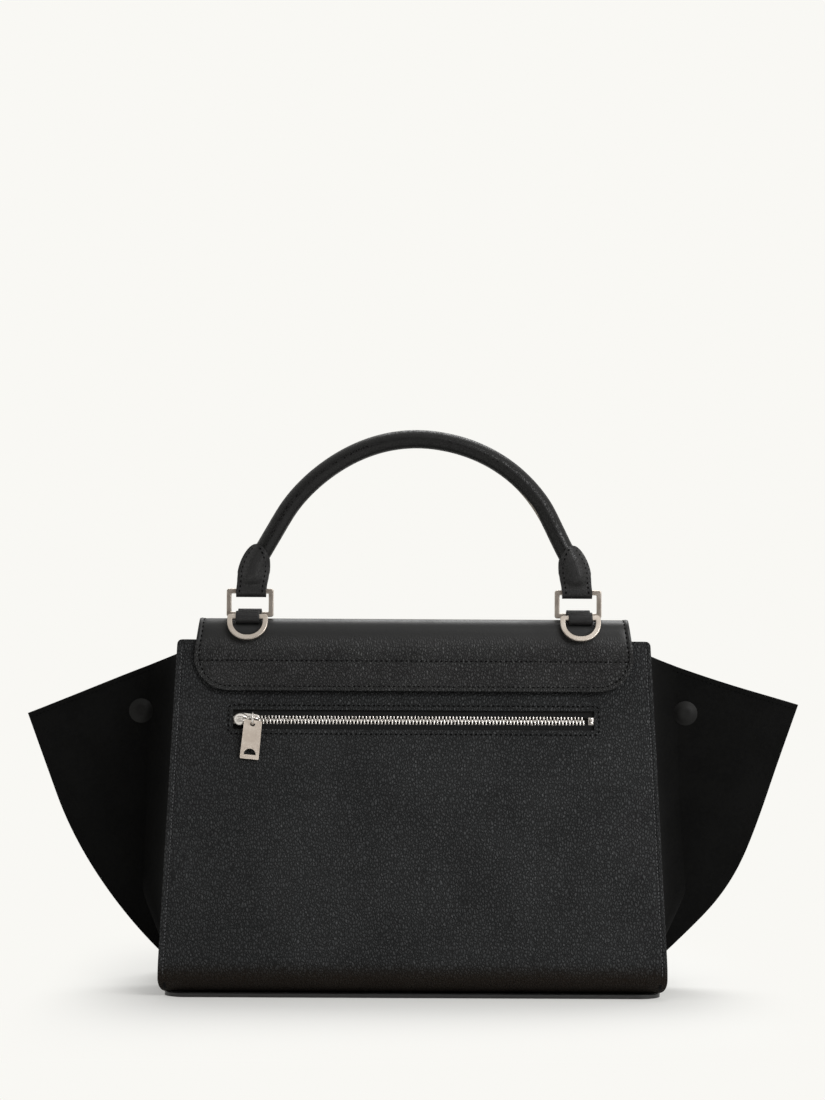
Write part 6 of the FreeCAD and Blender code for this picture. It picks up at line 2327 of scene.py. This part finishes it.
@dataclass
class Studio:
    """A pale floor, soft light and the camera in front of the zipped back."""

    lamps: tuple[Lamp, ...] = (Lamp("top", (0.2, 0.8, 1.7), (0.0, -0.02, 0.15), 1.1, 21.0),
                               Lamp("key", (0.9, -1.8, 1.4), (0.0, 0.0, 0.15), 0.6, 12.0),
                               Lamp("right", (1.1, -1.1, 0.7), (0.05, 0.0, 0.12), 0.6, 11.0))
    background: Colour = (0.947, 0.939, 0.905, 1)
    soft_light: Colour = (0.92, 0.92, 0.94, 1)
    soft_strength: float = 0.45
    floor_radius: float = 2.4
    floor_rings: int = 24
    floor_spokes: int = 64
    floor_colour: Colour = (0.62, 0.62, 0.6, 1)
    floor_glow: float = 0.28
    shadow_wide: Pair = (0.135, 0.235)
    shadow_deep: Pair = (0.09, 0.32)
    card_half: float = 2.4
    card_height: float = 2.3
    card_behind: float = -3.0
    card_colour: Colour = (0.10, 0.075, 0.06, 1)
    sensor: float = 36
    aim: Triple = (-0.0013, -0.05, 0.2663)
    distance: float = 1.65
    azimuth: float = -0.31
    elevation: float = -2.1
    roll: float = 0.3
    frame_height: float = 0.6617

    def build(self) -> None:
        """Sets up floor, world, lights and camera."""
        bpy.context.scene.view_settings.view_transform = "Standard"
        self._build_floor()
        self._build_world()
        self._build_flag()
        for lamp in self.lamps:
            lamp.build()
        self._build_camera()

    def _seen(self, graph: Graph) -> Socket:
        """1 for rays that show the background: straight to the camera, or by way of metal and glass."""
        path = graph.node("ShaderNodeLightPath").outputs
        seen = graph.math("MAXIMUM", path["Is Camera Ray"], path["Is Glossy Ray"])
        return graph.math("MAXIMUM", seen, path["Is Transmission Ray"])

    def _build_floor(self) -> None:
        """A round pale floor that keeps the shadow near the bag and fades to the background's colour."""
        rings, spokes = self.floor_rings, self.floor_spokes
        points = [Vector((0, 0, 0))]
        for ring in range(1, rings + 1):
            for spoke in range(spokes):
                turn = 2 * math.pi * spoke / spokes
                points.append(Vector((math.cos(turn), math.sin(turn), 0)) * self.floor_radius * ring / rings)
        faces = [(0, 1 + spoke, 1 + (spoke + 1) % spokes) for spoke in range(spokes)]
        for ring in range(rings - 1):
            for spoke in range(spokes):
                following = (spoke + 1) % spokes
                first = 1 + ring * spokes
                faces.append((first + spoke, first + spokes + spoke,
                              first + spokes + following, first + following))
        floor = mesh_object("floor", points, faces)
        material = bpy.data.materials.new("studio_floor")
        graph = cleared(material)
        place = graph.node("ShaderNodeTexCoord").outputs["Object"]
        parts = graph.node("ShaderNodeSeparateXYZ", {0: place}).outputs
        beside, along = (graph.remap(graph.math("ABSOLUTE", parts[axis]), *reach, 1.0, 0.0)
                         for axis, reach in (("X", self.shadow_wide), ("Y", self.shadow_deep)))
        near = graph.times(beside, along)
        seen = self._seen(graph)
        diffuse = graph.node("ShaderNodeBsdfDiffuse", {"Color": self.floor_colour}).outputs[0]
        lights = [graph.node("ShaderNodeEmission", {"Color": self.background, "Strength": strength})
                  for strength in (self.floor_glow, 1.0)]
        glow, plain = (light.outputs[0] for light in lights)
        lit = graph.node("ShaderNodeAddShader", {0: diffuse, 1: glow}).outputs[0]
        shown = graph.node("ShaderNodeMixShader", {0: near, 1: plain, 2: lit}).outputs[0]
        whole = graph.node("ShaderNodeMixShader", {0: seen, 1: diffuse, 2: shown}).outputs[0]
        graph.node("ShaderNodeOutputMaterial", {"Surface": whole})
        floor.data.materials.append(material)

    def _build_flag(self) -> None:
        """A dark card behind the camera, unseen by it, that gloss and metal show as the room's dim side."""
        wide, tall = self.card_half, self.card_height
        points = [Vector((across, self.card_behind, height))
                  for across, height in ((-wide, 0.0), (wide, 0.0), (wide, tall), (-wide, tall))]
        card = mesh_object("dim_card", points, [(3, 2, 1, 0)])
        material = bpy.data.materials.new("dim_cloth")
        material.use_nodes = True
        shader = material.node_tree.nodes["Principled BSDF"].inputs
        Graph(material.node_tree).fill(
            shader, {"Base Color": self.card_colour, "Roughness": 1.0, "Specular IOR Level": 0.0})
        card.data.materials.append(material)
        card.visible_camera = False

    def _build_world(self) -> None:
        """A pale world to the camera and in metal, and a dimmer soft light on the bag."""
        world = bpy.data.worlds.new("studio")
        bpy.context.scene.world = world
        graph = cleared(world)
        soft, pale = (graph.node("ShaderNodeBackground", {"Color": colour, "Strength": strength}).outputs[0]
                      for colour, strength in ((self.soft_light, self.soft_strength), (self.background, 1.0)))
        whole = graph.node("ShaderNodeMixShader", {0: self._seen(graph), 1: soft, 2: pale}).outputs[0]
        graph.node("ShaderNodeOutputWorld", {"Surface": whole})

    def _build_camera(self) -> None:
        """The camera at the photograph's angle, on an image of 825 by 1100."""
        camera = bpy.data.cameras.new("camera")
        camera.sensor_width = self.sensor
        camera.lens = self.sensor * self.distance / self.frame_height
        turn, lift = math.radians(self.azimuth), math.radians(self.elevation)
        away = Vector((math.sin(turn) * math.cos(lift), -math.cos(turn) * math.cos(lift), math.sin(lift)))
        holder = placed("camera", camera)
        holder.location = Vector(self.aim) + away * self.distance
        look = (-away).to_track_quat("-Z", "Y").to_matrix().to_4x4()
        holder.rotation_euler = (look @ Matrix.Rotation(math.radians(self.roll), 4, "Z")).to_euler()
        bpy.context.scene.camera = holder


def sew(stitching: Stitching, flap: Flap, wings: Wings) -> None:
    """Lays every row of stitches on the body that carries it.

    Args:
        stitching: The rows that the pieces noted.
        flap: The flap, whose bend step bakes its stitches' placement.
        wings: The wings, whose flex step bakes their stitches' placement.
    """
    for key, body, thread in (("bag", "bag", PLAIN_THREAD), ("edge", "bag", EDGE_THREAD),
                              ("handle", "handle", PLAIN_THREAD)):
        assign(stitching.build(key, thread), body, "smooth_leather")
    piece = stitching.build("flap", FLAP_THREAD)
    assign(piece, None, "smooth_leather")
    flap.bend(piece)
    for side in Side:
        piece = stitching.build(f"wing_{side.label}", WING_THREAD)
        assign(piece, None, "smooth_leather")
        wings.flex(piece, side)
    LOG.info("sewed %d rows of stitches", sum(len(lines) for lines in stitching.lines.values()))


def main() -> None:
    """Builds the bag, its finishes and the studio."""
    logging.basicConfig(level=logging.INFO, format="%(name)s: %(message)s")
    form = Form()
    wardrobe = Wardrobe()
    stitching = Stitching(wardrobe)
    flap = Flap(form, wardrobe, stitching)
    wings = Wings(form, wardrobe, stitching)
    Panels(form, wardrobe, stitching).build()
    Inside(form, wardrobe, stitching).build()
    flap.build()
    wings.build()
    Handle(wardrobe, stitching).build()
    Zip(form, wardrobe).build()
    Metalwork(wardrobe).build()
    sew(stitching, flap, wings)
    Studio().build()


if __name__ == "__main__":
    main()
